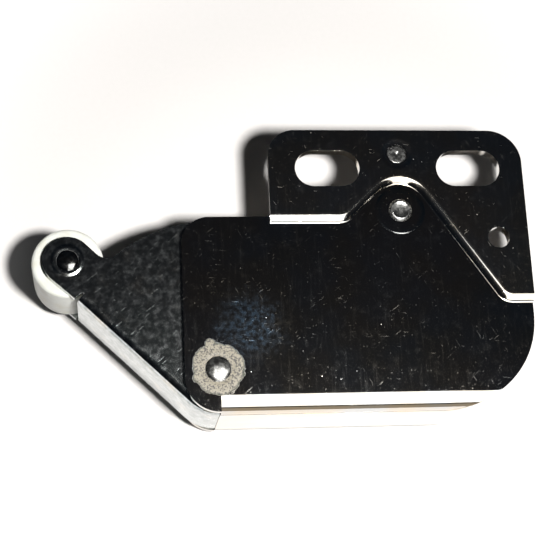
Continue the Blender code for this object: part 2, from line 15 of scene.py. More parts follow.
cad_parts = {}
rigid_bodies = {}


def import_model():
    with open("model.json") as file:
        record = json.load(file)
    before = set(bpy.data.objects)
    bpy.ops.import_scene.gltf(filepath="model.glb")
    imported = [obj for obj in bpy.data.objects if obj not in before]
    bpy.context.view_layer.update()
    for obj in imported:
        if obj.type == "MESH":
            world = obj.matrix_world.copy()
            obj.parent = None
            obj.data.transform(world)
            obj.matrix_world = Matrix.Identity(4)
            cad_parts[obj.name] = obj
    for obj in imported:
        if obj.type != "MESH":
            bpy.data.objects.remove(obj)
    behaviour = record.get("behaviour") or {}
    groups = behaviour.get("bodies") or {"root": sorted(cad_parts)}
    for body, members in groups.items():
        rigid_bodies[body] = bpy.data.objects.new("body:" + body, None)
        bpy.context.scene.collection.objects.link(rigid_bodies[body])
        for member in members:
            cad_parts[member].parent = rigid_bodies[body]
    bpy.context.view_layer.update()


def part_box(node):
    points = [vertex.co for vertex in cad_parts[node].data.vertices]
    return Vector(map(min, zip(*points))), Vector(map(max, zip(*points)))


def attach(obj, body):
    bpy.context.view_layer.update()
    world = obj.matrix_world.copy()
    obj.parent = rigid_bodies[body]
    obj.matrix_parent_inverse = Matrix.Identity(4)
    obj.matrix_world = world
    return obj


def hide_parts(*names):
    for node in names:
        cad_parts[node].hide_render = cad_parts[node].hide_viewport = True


bl_info = {
    "name": "Roller touch latch",
    "version": (1, 0, 0),
    "blender": (4, 5, 0),
    "location": "View3D > Sidebar > Latch",
    "description": "Builds a riveted sheet-metal roller latch round its packed frame",
    "category": "Add Mesh",
}

for leftover in list(bpy.data.objects):
    bpy.data.objects.remove(leftover, do_unlink=True)
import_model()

MM = 0.001


def limits(node):
    """Lowest and highest corner of a CAD node in millimetres."""
    low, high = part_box(node)
    return low / MM, high / MM


def middle(node):
    """Plan position of a CAD node's centre in millimetres."""
    low, high = limits(node)
    return ((low + high) / 2).xy


# ---------------------------------------------------------------- places from the frame
COVER_LOW, COVER_HIGH = limits("front_cover")
TRAY_REAR = limits("rear_cover")[0].z
LEVER_LOW, LEVER_HIGH = limits("lever_arm")
ROLLER_LOW, ROLLER_HIGH = limits("roller")
LEVER_PIVOT = middle("lever_rivet")
PAWL_PIVOT = middle("pawl_rivet")
FLANGE_RIVET = middle("flange_rivet")
ROLLER_AXIS = middle("roller")
LATCH_PIN = middle("latch_pin")

STEP = 0.6                   # the case face lies this far behind the mounting face
STEP_REACH = 0.98            # the step's foot lies this far below the step line
FACE = COVER_HIGH.z - STEP
CASE_LEFT = COVER_LOW.x
CASE_RIGHT = 16.35
CASE_BOTTOM = COVER_LOW.y
CASE_TOP = -6.35
CASE_TOP_LEFT_RADIUS = 3.5
CASE_BOTTOM_LEFT_RADIUS = 4.25
CASE_BOTTOM_RIGHT_RADIUS = 11.8
FLANGE_LEFT = -16.9
FLANGE_RIGHT = COVER_HIGH.x
FLANGE_TOP = COVER_HIGH.y
FLANGE_LEFT_RADIUS = 3.6
FLANGE_RIGHT_RADIUS = 4.4
SHOULDER_RIGHT = -17.15
CROWN_RADIUS = 4.5
LEFT_SLOPE = 43.0
RIGHT_SLOPE = 56.5
FOOT_RADIUS = 1.5            # rounding where the step's slopes run out
SLOT_REACH = 1.75
SLOT_RADIUS = 2.45
SLOT_PLACES = (-9.25, 9.25)
SPARE_HOLE = Vector((12.55, -9.5))
SPARE_HOLE_RADIUS = 1.4
RIVET_HOLE = 1.55
DENT_RADIUS = 2.3            # the collars pressed round the rivets and the roller pin
PAD_RADIUS = 3.3
SKIRT_BEND = 2.1
SKIRT_ROWS = 12
SKIRT_START = -23.85
TRAY_FLANGE_REAR = -1.65
TRAY_WALL = -0.9             # outside of the contour wall, measured from the step line
TRAY_WALL_LEFT = -16.8
TRAY_WALL_RIGHT = 16.25
FLOOR_LEFT = -23.9
FLOOR_TURN = 42.0            # degrees the bottom wall follows round the corner
FLOOR_INSET = 0.02           # the bottom wall lies this far inside the front cover's lip
SEAM = 0.3                   # and this far behind it
FLAT_RIM = 0.15              # a flat margin keeps each bend's shading off the flats
LEVER_FRONT = LEVER_HIGH.z
LEVER_REAR = LEVER_LOW.z
LEVER_SECTOR = 19.5
WEB_OFFSET = 5.3
WEB_NORMAL = 225.9
WEB_LENGTH = 18.7
WEB_END = 271.5
HUB_RADIUS = 3.5
BOSS_RADIUS = 3.1
PIN_HOLE = 1.15
LATCH_HOLE = 1.25
SLEEVE_HOLE = 2.25
PAWL_TRAVEL = 12.0
LEVER_TRAVEL = 50.0
MAIN_SPRING_LOW = -9.3       # height of the main spring's lowest turn
MAIN_COIL = 3.0
PAWL_COIL = 2.6
PAWL_COIL_START = 133

CURVE_STEP = 4.5             # degrees between points on outline arcs
BEND_STEP = 7.5              # degrees between points round a bend
HOLE_SIDES = 64
WIRE_SIDES = 14
SHARP_ANGLE = math.radians(38)
BEVEL_ANGLE = math.radians(40)


# ---------------------------------------------------------------- outline helpers
def polar(radius, degrees):
    """A plane vector of the given length and direction."""
    angle = math.radians(degrees)
    return Vector((radius * math.cos(angle), radius * math.sin(angle)))


def arc(centre, radius, start, end, spacing=CURVE_STEP):
    """Points from the start angle to the end angle, both included."""
    count = max(2, math.ceil(abs(end - start) / spacing) + 1)
    return [centre + polar(radius, start + (end - start) * i / (count - 1)) for i in range(count)]


def circle(centre, radius, sides=HOLE_SIDES):
    """A closed round outline."""
    return [centre + polar(radius, 360.0 * i / sides) for i in range(sides)]


def slot_outline(centre_x, grow=0.0):
    """A round-ended screw slot along X."""
    right = arc(Vector((centre_x + SLOT_REACH, 0)), SLOT_RADIUS + grow, -90, 90)
    left = arc(Vector((centre_x - SLOT_REACH, 0)), SLOT_RADIUS + grow, 90, 270)
    return right + left


def shoulder(inset, right, left):
    """The step line from the right edge to the left one; a positive inset goes to the case."""
    right_point = PAWL_PIVOT + polar(CROWN_RADIUS, 90 - RIGHT_SLOPE)
    left_point = PAWL_PIVOT + polar(CROWN_RADIUS, 90 + LEFT_SLOPE)
    right_run = (right_point.y - SHOULDER_RIGHT) / math.tan(math.radians(RIGHT_SLOPE))
    left_run = (left_point.y - CASE_TOP) / math.tan(math.radians(LEFT_SLOPE))
    right_foot = Vector((right_point.x + right_run, SHOULDER_RIGHT))
    left_foot = Vector((left_point.x - left_run, CASE_TOP))
    right_foot += Vector((math.tan(math.radians(RIGHT_SLOPE / 2)), 1)) * FOOT_RADIUS
    left_foot += Vector((-math.tan(math.radians(LEFT_SLOPE / 2)), 1)) * FOOT_RADIUS
    path = [Vector((right, SHOULDER_RIGHT - inset))]
    path += arc(right_foot, FOOT_RADIUS + inset, -90, -90 - RIGHT_SLOPE)
    path += arc(PAWL_PIVOT, CROWN_RADIUS - inset, 90 - RIGHT_SLOPE, 90 + LEFT_SLOPE)
    path += arc(left_foot, FOOT_RADIUS + inset, LEFT_SLOPE - 90, -90)
    return path + [Vector((left, CASE_TOP - inset))]


def flange_outline(inset, right=FLANGE_RIGHT, left=FLANGE_LEFT, shrink=0.0):
    """The flange seen from the front, down to the step line."""
    low = shoulder(inset, right, left)
    low.reverse()
    top = FLANGE_TOP - shrink
    right_centre = Vector((right - FLANGE_RIGHT_RADIUS, top - FLANGE_RIGHT_RADIUS))
    left_centre = Vector((left + FLANGE_LEFT_RADIUS, top - FLANGE_LEFT_RADIUS))
    return (low + arc(right_centre, FLANGE_RIGHT_RADIUS, 0, 90)
            + arc(left_centre, FLANGE_LEFT_RADIUS, 90, 180))


def corner_centre():
    """Centre of the case's large bottom right corner."""
    return Vector((CASE_RIGHT - CASE_BOTTOM_RIGHT_RADIUS, CASE_BOTTOM + CASE_BOTTOM_RIGHT_RADIUS))


def left_side(top):
    """The case's free edge from the top left corner to the bottom left one."""
    upper = Vector((CASE_LEFT + CASE_TOP_LEFT_RADIUS, top - CASE_TOP_LEFT_RADIUS))
    lower = Vector((CASE_LEFT + CASE_BOTTOM_LEFT_RADIUS, CASE_BOTTOM + CASE_BOTTOM_LEFT_RADIUS))
    return (arc(upper, CASE_TOP_LEFT_RADIUS, 90, 180)
            + arc(lower, CASE_BOTTOM_LEFT_RADIUS, 180, 270))


def bottom_edge(start, turn, depth):
    """The bottom edge and the start of its corner: points moved in by depth, and outward ways."""
    corner = corner_centre()
    bent = arc(corner, CASE_BOTTOM_RIGHT_RADIUS - depth, 270, turn, 3.0)
    ways = [Vector((0, -1))] + [(place - corner).normalized() for place in bent]
    return [Vector((start, CASE_BOTTOM + depth))] + bent, ways


def skirt_turn():
    """Degrees round the corner at which the straight bend line meets the edge."""
    return 270 + math.degrees(math.acos(1 - SKIRT_BEND / CASE_BOTTOM_RIGHT_RADIUS))


def bend_angle(place):
    """How far in degrees the bottom bend has turned when it is trimmed at a point."""
    reach = (CASE_BOTTOM + SKIRT_BEND - place.y) / SKIRT_BEND
    return math.degrees(math.asin(min(1.0, max(0.0, reach))))


# ---------------------------------------------------------------- mesh helpers
def add_flat(bm, outline, holes, height):
    """A flat face with holes, as triangles at one height."""
    loops = [[Vector((p.x, p.y, 0)) for p in loop] for loop in [outline] + holes]
    triangles = tessellate_polygon(loops)
    points = [bm.verts.new((p.x, p.y, height)) for loop in loops for p in loop]
    for corners in triangles:
        bm.faces.new([points[i] for i in corners])


def add_strip(bm, rows, closed=False):
    """A strip of quads between rows of (x, y, z) points."""
    grid = [[bm.verts.new(point) for point in row] for row in rows]
    for near, far in zip(grid, grid[1:]):
        count = len(near) if closed else len(near) - 1
        for i in range(count):
            k = (i + 1) % len(near)
            bm.faces.new((near[i], near[k], far[k], far[i]))


def add_collar(bm, centre, profile):
    """Rings about a hole from (radius, height) points, the widest first."""
    rows = [[(p.x, p.y, z) for p in circle(centre, radius)] for radius, z in profile]
    add_strip(bm, rows, closed=True)


def raised(points, height):
    """Plane points at one height."""
    return [(p.x, p.y, height) for p in points]


def moved(points, ways, reach, height):
    """Points moved outwards along their own ways, at one height."""
    return [(p.x + w.x * reach, p.y + w.y * reach, height) for p, w in zip(points, ways)]


def quarter(radius, start, end):
    """(across, up) points round a bend's centre."""
    return [tuple(p) for p in arc(Vector((0, 0)), radius, start, end, BEND_STEP)]


def surface_mesh(name, bm, towards):
    """Weld a bmesh of one surface, face it the given way and turn it into metres."""
    bmesh.ops.remove_doubles(bm, verts=bm.verts, dist=0.002)
    bmesh.ops.recalc_face_normals(bm, faces=bm.faces)
    way = Vector(towards)
    widest = max(bm.faces, key=lambda face: face.calc_area() * abs(face.normal.dot(way)))
    if widest.normal.dot(way) < 0:
        bmesh.ops.reverse_faces(bm, faces=bm.faces)
    bmesh.ops.scale(bm, vec=(MM, MM, MM), verts=bm.verts)
    mesh = bpy.data.meshes.new(name)
    bm.to_mesh(mesh)
    bm.free()
    mesh.shade_smooth()
    return mesh


def solid_mesh(name, bm):
    """Weld a closed bmesh, face it outwards and turn it into metres."""
    bmesh.ops.remove_doubles(bm, verts=bm.verts, dist=0.001)
    bmesh.ops.recalc_face_normals(bm, faces=bm.faces)
    bmesh.ops.scale(bm, vec=(MM, MM, MM), verts=bm.verts)
    mesh = bpy.data.meshes.new(name)
    bm.to_mesh(mesh)
    bm.free()
    mesh.shade_smooth()
    mesh.set_sharp_from_angle(angle=SHARP_ANGLE)
    return mesh


def add_piece(name, mesh, look, body, node):
    """Link a mesh as a piece that rides on a body and stands for a CAD node."""
    piece = bpy.data.objects.new(name, mesh)
    bpy.context.scene.collection.objects.link(piece)
    if look is not None:
        mesh.materials.clear()
        mesh.materials.append(look)
    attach(piece, body)
    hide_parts(node)
    return piece


def soften(piece, width, segments=2):
    """Round a piece's cut edges and keep its flats flat."""
    bevel = piece.modifiers.new("edges", "BEVEL")
    bevel.width = width
    bevel.segments = segments
    bevel.limit_method = "ANGLE"
    bevel.angle_limit = BEVEL_ANGLE
    bevel.use_clamp_overlap = True
    bevel.harden_normals = True


def thicken(piece, sheet, edge):
    """Give a pressed surface its wall and its softened edges."""
    wall = piece.modifiers.new("wall", "SOLIDIFY")
    wall.thickness = sheet
    wall.offset = -1.0
    wall.use_even_offset = True
    soften(piece, edge)


# ---------------------------------------------------------------- node helpers
def new_node(tree, kind, settings=None, sockets=None):
    """A node with its settings first and then its sockets' values and links."""
    node = tree.nodes.new(kind)
    for key, value in (settings or {}).items():
        setattr(node, key, value)
    for key, value in (sockets or {}).items():
        if isinstance(value, bpy.types.NodeSocket):
            tree.links.new(value, node.inputs[key])
        else:
            node.inputs[key].default_value = value
    return node


class Value:
    """A socket whose value can be written into sums and products."""

    def __init__(self, graph, socket):
        self.graph = graph
        self.socket = socket

    def __add__(self, other):
        return self.graph.math("ADD", self, other)

    __radd__ = __add__

    def __sub__(self, other):
        return self.graph.math("SUBTRACT", self, other)

    def __rsub__(self, other):
        return self.graph.math("SUBTRACT", other, self)

    def __mul__(self, other):
        return self.graph.math("MULTIPLY", self, other)

    __rmul__ = __mul__

    def most(self, other):
        """The larger of two values."""
        return self.graph.math("MAXIMUM", self, other)

    def ramp(self, low, high):
        """A smooth rise from 0 at low to 1 at high; low may be the larger."""
        sockets = {"Value": self, "From Min": low, "From Max": high}
        if low > high:
            return 1 - self.ramp(high, low)
        node = self.graph.add("ShaderNodeMapRange", {"interpolation_type": "SMOOTHSTEP"}, sockets)
        return Value(self.graph, node.outputs["Result"])


class Graph:
    """The node graph of one material or of the world."""

    def __init__(self, owner):
        owner.use_nodes = True
        self.owner = owner
        self.tree = owner.node_tree
        self.tree.nodes.clear()

    def add(self, kind, settings=None, sockets=None):
        """A node of the given type, with its settings and then its sockets."""
        plain = {key: value.socket if isinstance(value, Value) else value
                 for key, value in (sockets or {}).items()}
        return new_node(self.tree, kind, settings, plain)

    def math(self, operation, first, second):
        """A Math node on two numbers."""
        node = self.add("ShaderNodeMath", {"operation": operation}, {0: first, 1: second})
        return Value(self, node.outputs[0])

    def place(self):
        """Object coordinates in millimetres."""
        coordinates = self.add("ShaderNodeTexCoord")
        node = self.add("ShaderNodeVectorMath", {"operation": "SCALE"},
                        {0: Value(self, coordinates.outputs["Object"]), "Scale": 1 / MM})
        return Value(self, node.outputs[0])

    def stretched(self, vector, scale, turn=0.0):
        """Coordinates turned about Z and scaled along each axis."""
        turned = self.add("ShaderNodeMapping", {"vector_type": "POINT"},
                          {"Vector": vector, "Rotation": (0, 0, math.radians(turn))})
        node = self.add("ShaderNodeMapping", {"vector_type": "POINT"},
                        {"Vector": Value(self, turned.outputs[0]), "Scale": scale})
        return Value(self, node.outputs[0])

    def noise(self, vector, scale, detail=2.0, rough=0.5):
        """Smooth noise from 0 to 1."""
        node = self.add("ShaderNodeTexNoise", {},
                        {"Vector": vector, "Scale": scale, "Detail": detail, "Roughness": rough})
        return Value(self, node.outputs[0])

    def cells(self, vector, scale):
        """Distance to the nearest scattered point, and a random number of that point."""
        node = self.add("ShaderNodeTexVoronoi", {}, {"Vector": vector, "Scale": scale})
        parts = self.add("ShaderNodeSeparateColor", {}, {0: Value(self, node.outputs["Color"])})
        return Value(self, node.outputs["Distance"]), Value(self, parts.outputs[0])

    def away(self, vector, centre):
        """Distance from a line along Z through a plan point."""
        flat = self.add("ShaderNodeVectorMath", {"operation": "MULTIPLY"},
                        {0: vector, 1: (1, 1, 0)})
        node = self.add("ShaderNodeVectorMath", {"operation": "DISTANCE"},
                        {0: Value(self, flat.outputs[0]), 1: (centre[0], centre[1], 0)})
        return Value(self, node.outputs["Value"])

    def part(self, vector, axis):
        """One coordinate of a vector."""
        node = self.add("ShaderNodeSeparateXYZ", {}, {0: vector})
        return Value(self, node.outputs[axis])

    def mix(self, factor, first, second):
        """A blend of two colours."""
        colours = [c if isinstance(c, Value) else (*c, 1.0) for c in (first, second)]
        node = self.add("ShaderNodeMix", {"data_type": "RGBA"},
                        {0: factor, 6: colours[0], 7: colours[1]})
        return Value(self, node.outputs[2])

    def bump(self, height, depth):
        """A normal that follows a height from 0 to 1 over a depth in millimetres."""
        node = self.add("ShaderNodeBump", {}, {"Distance": depth * MM, "Height": height})
        return Value(self, node.outputs[0])

    def surface(self, sockets):
        """The Principled shader that ends the graph."""
        shader = self.add("ShaderNodeBsdfPrincipled", {}, sockets)
        output = self.add("ShaderNodeOutputMaterial")
        self.tree.links.new(shader.outputs[0], output.inputs[0])
        return self.owner


def new_graph(name):
    """A fresh material's graph."""
    return Graph(bpy.data.materials.new(name))


def scratches(graph, place, turn, fine, reach, limit):
    """Sparse straight scratches along one direction, from 0 to 1."""
    lines = graph.noise(graph.stretched(place, (1 / reach, fine, 1.0), turn), 1.0, 1.0)
    return lines.ramp(limit, limit + 0.03)


def specks(graph, place, scale, share, size):
    """Small round dents scattered over a surface, from 0 to 1."""
    distance, chance = graph.cells(place, scale)
    return distance.ramp(size, size * 0.4) * chance.ramp(1 - share, 1.01 - share)


# ---------------------------------------------------------------- finishes
def bright_nickel(finish):
    """Mirror-bright nickel with handling marks and a corroded ring round the lever rivet."""
    graph = new_graph("bright_nickel")
    place = graph.place()
    broad = graph.noise(place, 0.16, 3.0)
    cloud = graph.noise(place, 0.9, 4.0, 0.6)
    grain = graph.noise(place, 7.0, 3.0, 0.7)
    streak = graph.noise(graph.stretched(place, (3.0, 0.25, 1.0)), 1.0, 2.0)
    flange = graph.part(place, "Z").ramp(-0.5, -0.2)
    dents = specks(graph, place, 2.4, 0.35, 0.14) * 0.5
    dents = dents.most(specks(graph, place, 0.9, 0.25, 0.07))
    marks = scratches(graph, place, 4, 13.0, 1.6, 0.74)
    marks = marks.most(scratches(graph, place, 62, 13.0, 2.2, 0.75))
    marks = marks.most(scratches(graph, place, -38, 13.0, 1.8, 0.75))
    marks = marks * (graph.noise(place, 0.3, 1.0).ramp(0.46, 0.64) + flange * 0.8)

    ragged = graph.away(place, LEVER_PIVOT) + (graph.noise(place, 0.8, 5.0, 0.65) - 0.5) * 1.3
    tongue = graph.away(place, LEVER_PIVOT + Vector((-0.9, 3.2))) + (grain - 0.5) * 0.6
    crust = ragged.ramp(3.35, 2.95).most(tongue.ramp(0.7, 0.4))
    pits = graph.noise(place, 4.5, 3.0, 0.7)
    inner = ragged.ramp(2.9, 2.2)
    crust_colour = graph.mix(grain.ramp(0.35, 0.62), finish["tarnish"], finish["pale_tarnish"])
    crust_colour = graph.mix(inner * 0.5, finish["pale_tarnish"], crust_colour)
    crust_colour = graph.mix(pits.ramp(0.50, 0.44), crust_colour, finish["pit"])
    crust_colour = graph.mix(crust.ramp(0.1, 0.9), finish["crust_edge"], crust_colour)

    stain_spot = graph.away(place, LEVER_PIVOT + Vector((4.2, 5.4))) + (cloud - 0.5) * 6.0
    stain = stain_spot.ramp(6.0, 1.5) * graph.noise(place, 1.6, 4.0, 0.6).ramp(0.3, 0.65)

    plated = graph.mix(broad.ramp(0.35, 0.65), finish["nickel"], finish["warm_nickel"])
    plated = graph.mix(stain * 0.8, plated, finish["stain"])
    colour = graph.mix(crust.ramp(0.0, 0.2), plated, crust_colour)
    haze = cloud.ramp(0.5, 0.8) * 0.03 + streak.ramp(0.55, 0.75) * 0.02 + flange * 0.03
    rough = 0.075 + haze + grain.ramp(0.55, 0.85) * 0.04
    rough = rough + marks * 0.13 + dents * 0.30 + stain * 0.07
    relief = grain * 0.04 + cloud * 0.2 + marks * 0.12 - dents * 0.4
    return graph.surface({
        "Base Color": colour,
        "Metallic": 1 - crust.ramp(0.0, 0.2),
        "Roughness": rough + crust.ramp(0.25, 0.9) * 0.45,
        "Normal": graph.bump(relief + crust * (pits - 0.5) * 2.5, 0.010),
    })


def worn_nickel(finish):
    """Duller plating with a mottled grey-green bloom, as on the lever."""
    graph = new_graph("worn_nickel")
    place = graph.place()
    cloud = graph.noise(place, 0.35, 4.0, 0.6)
    mottle = graph.noise(place, 1.1, 5.0, 0.7)
    grain = graph.noise(place, 8.0, 2.0)
    rubbed = graph.part(place, "X").ramp(-28.5, -25.2)
    dents = specks(graph, place, 1.3, 0.3, 0.07)
    marks = scratches(graph, place, -40, 10.0, 1.8, 0.73)
    colour = graph.mix(mottle.ramp(0.35, 0.7), finish["bloom_dark"], finish["bloom_light"])
    colour = graph.mix(cloud.ramp(0.5, 0.8) * 0.6, colour, finish["warm_nickel"])
    rough = 0.11 + mottle.ramp(0.42, 0.75) * 0.06 + marks * 0.05 + dents * 0.2 + grain * 0.03
    relief = grain * 0.10 + mottle * 0.35 + marks * 0.2 - dents * 0.4
    return graph.surface({
        "Base Color": colour,
        "Metallic": 1.0,
        "Roughness": rough + rubbed * mottle.ramp(0.2, 0.8) * 0.13,
        "Normal": graph.bump(relief, 0.010),
    })


def struck_steel(name, colour, rough, depth):
    """Bare steel with the uneven skin of a hammered or turned part."""
    graph = new_graph(name)
    place = graph.place()
    skin = graph.noise(place, 1.6, 4.0, 0.6)
    grain = graph.noise(place, 7.0, 2.0)
    dents = specks(graph, place, 3.0, 0.5, 0.16)
    dull = [part * 0.55 for part in colour]
    tone = graph.mix(skin.ramp(0.35, 0.7), dull, colour)
    return graph.surface({
        "Base Color": tone,
        "Metallic": 1.0,
        "Roughness": skin.ramp(0.3, 0.7) * 0.4 * rough + rough + dents * 0.1,
        "Normal": graph.bump(skin + grain * 0.15 - dents * 0.4, depth),
    })


def moulded_nylon(finish):
    """White nylon, a little yellowed, with moulding grain and dust in its pores."""
    graph = new_graph("moulded_nylon")
    place = graph.place()
    cloud = graph.noise(place, 0.5, 3.0)
    grain = graph.noise(place, 9.0, 3.0, 0.6)
    dust = specks(graph, place, 1.4, 0.25, 0.10)
    colour = graph.mix(cloud.ramp(0.4, 0.75), finish["nylon"], finish["aged_nylon"])
    colour = graph.mix(dust * 0.5, colour, finish["pit"])
    return graph.surface({
        "Base Color": colour,
        "Roughness": 0.38 + grain * 0.12,
        "Subsurface Weight": 0.15,
        "Subsurface Scale": 0.0006,
        "Subsurface Radius": (1.0, 0.9, 0.75),
        "Normal": graph.bump(grain * 0.2 + cloud * 0.3, 0.02),
    })


def drawn_wire(name, colour):
    """Spring wire with drawing lines along its length."""
    graph = new_graph(name)
    place = graph.place()
    lines = graph.noise(graph.stretched(place, (2.0, 9.0, 9.0)), 1.0, 3.0)
    dull = [part * 0.6 for part in colour]
    tone = graph.mix(graph.noise(place, 1.2, 3.0).ramp(0.35, 0.7), dull, colour)
    return graph.surface({
        "Base Color": tone,
        "Metallic": 1.0,
        "Roughness": 0.24 + lines * 0.14,
        "Normal": graph.bump(lines, 0.01),
    })


# ---------------------------------------------------------------- node trees
def new_tree(name, inputs):
    """An empty geometry tree with named inputs; returns it and its input and output nodes."""
    tree = bpy.data.node_groups.new(name, "GeometryNodeTree")
    tree.interface.new_socket("Geometry", in_out="INPUT", socket_type="NodeSocketGeometry")
    for label, kind in inputs:
        tree.interface.new_socket(label, in_out="INPUT", socket_type=kind)
    tree.interface.new_socket("Geometry", in_out="OUTPUT", socket_type="NodeSocketGeometry")
    return tree, tree.nodes.new("NodeGroupInput"), tree.nodes.new("NodeGroupOutput")


def end_tree(tree, given, result, geometry):
    """Close a tree with Realize Instances and Set Material."""
    real = new_node(tree, "GeometryNodeRealizeInstances", {}, {0: geometry})
    painted = new_node(tree, "GeometryNodeSetMaterial", {},
                        {"Geometry": real.outputs[0], "Material": given.outputs["Material"]})
    tree.links.new(painted.outputs[0], result.inputs[0])
    return tree


def turning_tree():
    """Turns a profile of (radius, 0, height) points about an upright line."""
    tree, given, result = new_tree("turned_body", [
        ("Sides", "NodeSocketInt"), ("Centre", "NodeSocketVector"),
        ("Material", "NodeSocketMaterial")])
    size = new_node(tree, "GeometryNodeAttributeDomainSize", {"component": "MESH"},
                     {0: given.outputs["Geometry"]})
    points = size.outputs["Point Count"]
    columns = new_node(tree, "ShaderNodeMath", {"operation": "ADD"},
                        {0: given.outputs["Sides"], 1: 1.0})
    grid = new_node(tree, "GeometryNodeMeshGrid", {},
                     {"Vertices X": columns.outputs[0], "Vertices Y": points})
    index = new_node(tree, "GeometryNodeInputIndex").outputs[0]
    share = new_node(tree, "ShaderNodeMath", {"operation": "DIVIDE"}, {0: index, 1: points})
    column = new_node(tree, "ShaderNodeMath", {"operation": "FLOOR"}, {0: share.outputs[0]})
    row = new_node(tree, "ShaderNodeMath", {"operation": "MODULO"}, {0: index, 1: points})
    place = new_node(tree, "GeometryNodeInputPosition").outputs[0]
    sample = new_node(tree, "GeometryNodeSampleIndex", {"data_type": "FLOAT_VECTOR"},
                       {"Geometry": given.outputs["Geometry"], "Value": place,
                        "Index": row.outputs[0]})
    turns = new_node(tree, "ShaderNodeMath", {"operation": "DIVIDE"},
                      {0: column.outputs[0], 1: given.outputs["Sides"]})
    angle = new_node(tree, "ShaderNodeMath", {"operation": "MULTIPLY"},
                      {0: turns.outputs[0], 1: 2 * math.pi})
    turned = new_node(tree, "ShaderNodeVectorRotate", {"rotation_type": "Z_AXIS"},
                       {"Vector": sample.outputs[0], "Angle": angle.outputs[0]})
    shifted = new_node(tree, "ShaderNodeVectorMath", {"operation": "ADD"},
                        {0: turned.outputs[0], 1: given.outputs["Centre"]})
    shaped = new_node(tree, "GeometryNodeSetPosition", {},
                       {"Geometry": grid.outputs["Mesh"], "Position": shifted.outputs[0]})
    welded = new_node(tree, "GeometryNodeMergeByDistance", {},
                       {"Geometry": shaped.outputs[0], "Distance": 0.000001})
    return end_tree(tree, given, result, welded.outputs[0])


def wire_tree():
    """Draws a round wire along the edges of a guide."""
    tree, given, result = new_tree("drawn_wire", [
        ("Wire Radius", "NodeSocketFloat"), ("Sides", "NodeSocketInt"),
        ("Material", "NodeSocketMaterial")])
    path = new_node(tree, "GeometryNodeMeshToCurve", {}, {0: given.outputs["Geometry"]})
    ring = new_node(tree, "GeometryNodeCurvePrimitiveCircle", {},
                     {"Resolution": given.outputs["Sides"], "Radius": given.outputs["Wire Radius"]})
    drawn = new_node(tree, "GeometryNodeCurveToMesh", {},
                      {"Curve": path.outputs[0], "Profile Curve": ring.outputs[0],
                       "Fill Caps": True})
    return end_tree(tree, given, result, drawn.outputs[0])


def shared_tree(name, maker):
    """A tree made once and used again."""
    return bpy.data.node_groups.get(name) or maker()


def grown_mesh(name, points, tree, values):
    """Run a geometry tree on a chain of points and return the plain mesh."""
    guide = bpy.data.meshes.new(name + "_guide")
    places = [(p[0] * MM, p[1] * MM, p[2] * MM) for p in points]
    guide.from_pydata(places, [(i, i + 1) for i in range(len(places) - 1)], [])
    holder = bpy.data.objects.new(name + "_guide", guide)
    bpy.context.scene.collection.objects.link(holder)
    grower = holder.modifiers.new("grow", "NODES")
    grower.node_group = tree
    for item in tree.interface.items_tree:
        if item.in_out == "INPUT" and item.name in values:
            grower[item.identifier] = values[item.name]
    graph = bpy.context.evaluated_depsgraph_get()
    made = bpy.data.meshes.new_from_object(holder.evaluated_get(graph), depsgraph=graph)
    made.name = name
    bpy.data.objects.remove(holder, do_unlink=True)
    bm = bmesh.new()
    bm.from_mesh(made)
    bmesh.ops.recalc_face_normals(bm, faces=bm.faces)
    bm.to_mesh(made)
    bm.free()
    made.shade_smooth()
    made.set_sharp_from_angle(angle=SHARP_ANGLE)
    return made


def turned_mesh(name, centre, profile, look, sides, closed=False):
    """A turned body from (radius, height) points."""
    points = [(radius, 0.0, z) for radius, z in profile]
    if closed:
        points.append(points[0])
    values = {"Sides": sides, "Centre": (centre.x * MM, centre.y * MM, 0.0), "Material": look}
    return grown_mesh(name, points, shared_tree("turned_body", turning_tree), values)


def wire_mesh(name, points, radius, look):
    """A round wire through points."""
    values = {"Wire Radius": radius * MM, "Sides": WIRE_SIDES, "Material": look}
    return grown_mesh(name, points, shared_tree("drawn_wire", wire_tree), values)


def rounded_profile(corners):
    """(radius, height) points of a profile whose (x, z, round) corners are softened."""
    points = []
    for i, (x, z, reach) in enumerate(corners):
        here = Vector((x, z))
        if reach == 0:
            points.append((x, z))
            continue
        before = Vector(corners[i - 1][:2])
        after = Vector(corners[(i + 1) % len(corners)][:2])
        start = here + (before - here).normalized() * reach
        end = here + (after - here).normalized() * reach
        for k in range(6):
            t = k / 5
            points.append(tuple(start * (1 - t) ** 2 + here * 2 * t * (1 - t) + end * t ** 2))
    return points


# ---------------------------------------------------------------- settings
def length(label, text, value):
    """A size that a user may change."""
    return FloatProperty(name=label, description=text, default=value, min=0.0, precision=5,
                         unit="LENGTH")


def colour(label, text, value):
    """A colour that a user may change."""
    return FloatVectorProperty(name=label, description=text, default=value, size=3,
                               subtype="COLOR", min=0.0, max=1.0)


class LatchShape(bpy.types.PropertyGroup):
    """Sizes of the pressed sheets and the turned pieces."""

    sheet: length("Sheet", "Thickness of the pressed sheets", 0.0008)
    edge: length("Edge", "Rounding of the cut edges", 0.00009)
    step_top: length("Step top bend", "Radius where the flange turns down", 0.0012)
    step_low: length("Step low bend", "Radius where the step meets the case", 0.0003)
    step_angle: FloatProperty(name="Step slope", description="Slope of the step's face",
                              default=math.radians(52), subtype="ANGLE")
    tray_bend: length("Tray bend", "Outer radius of the rear cover's bends", 0.0012)
    tray_flange: length("Tray flange bend", "Inner radius under the rear flange", 0.0004)
    lever_bend: length("Lever bend", "Outer radius of the lever's folds", 0.0011)
    sides: IntProperty(name="Sides", description="Sides of the turned pieces", default=96, min=24)


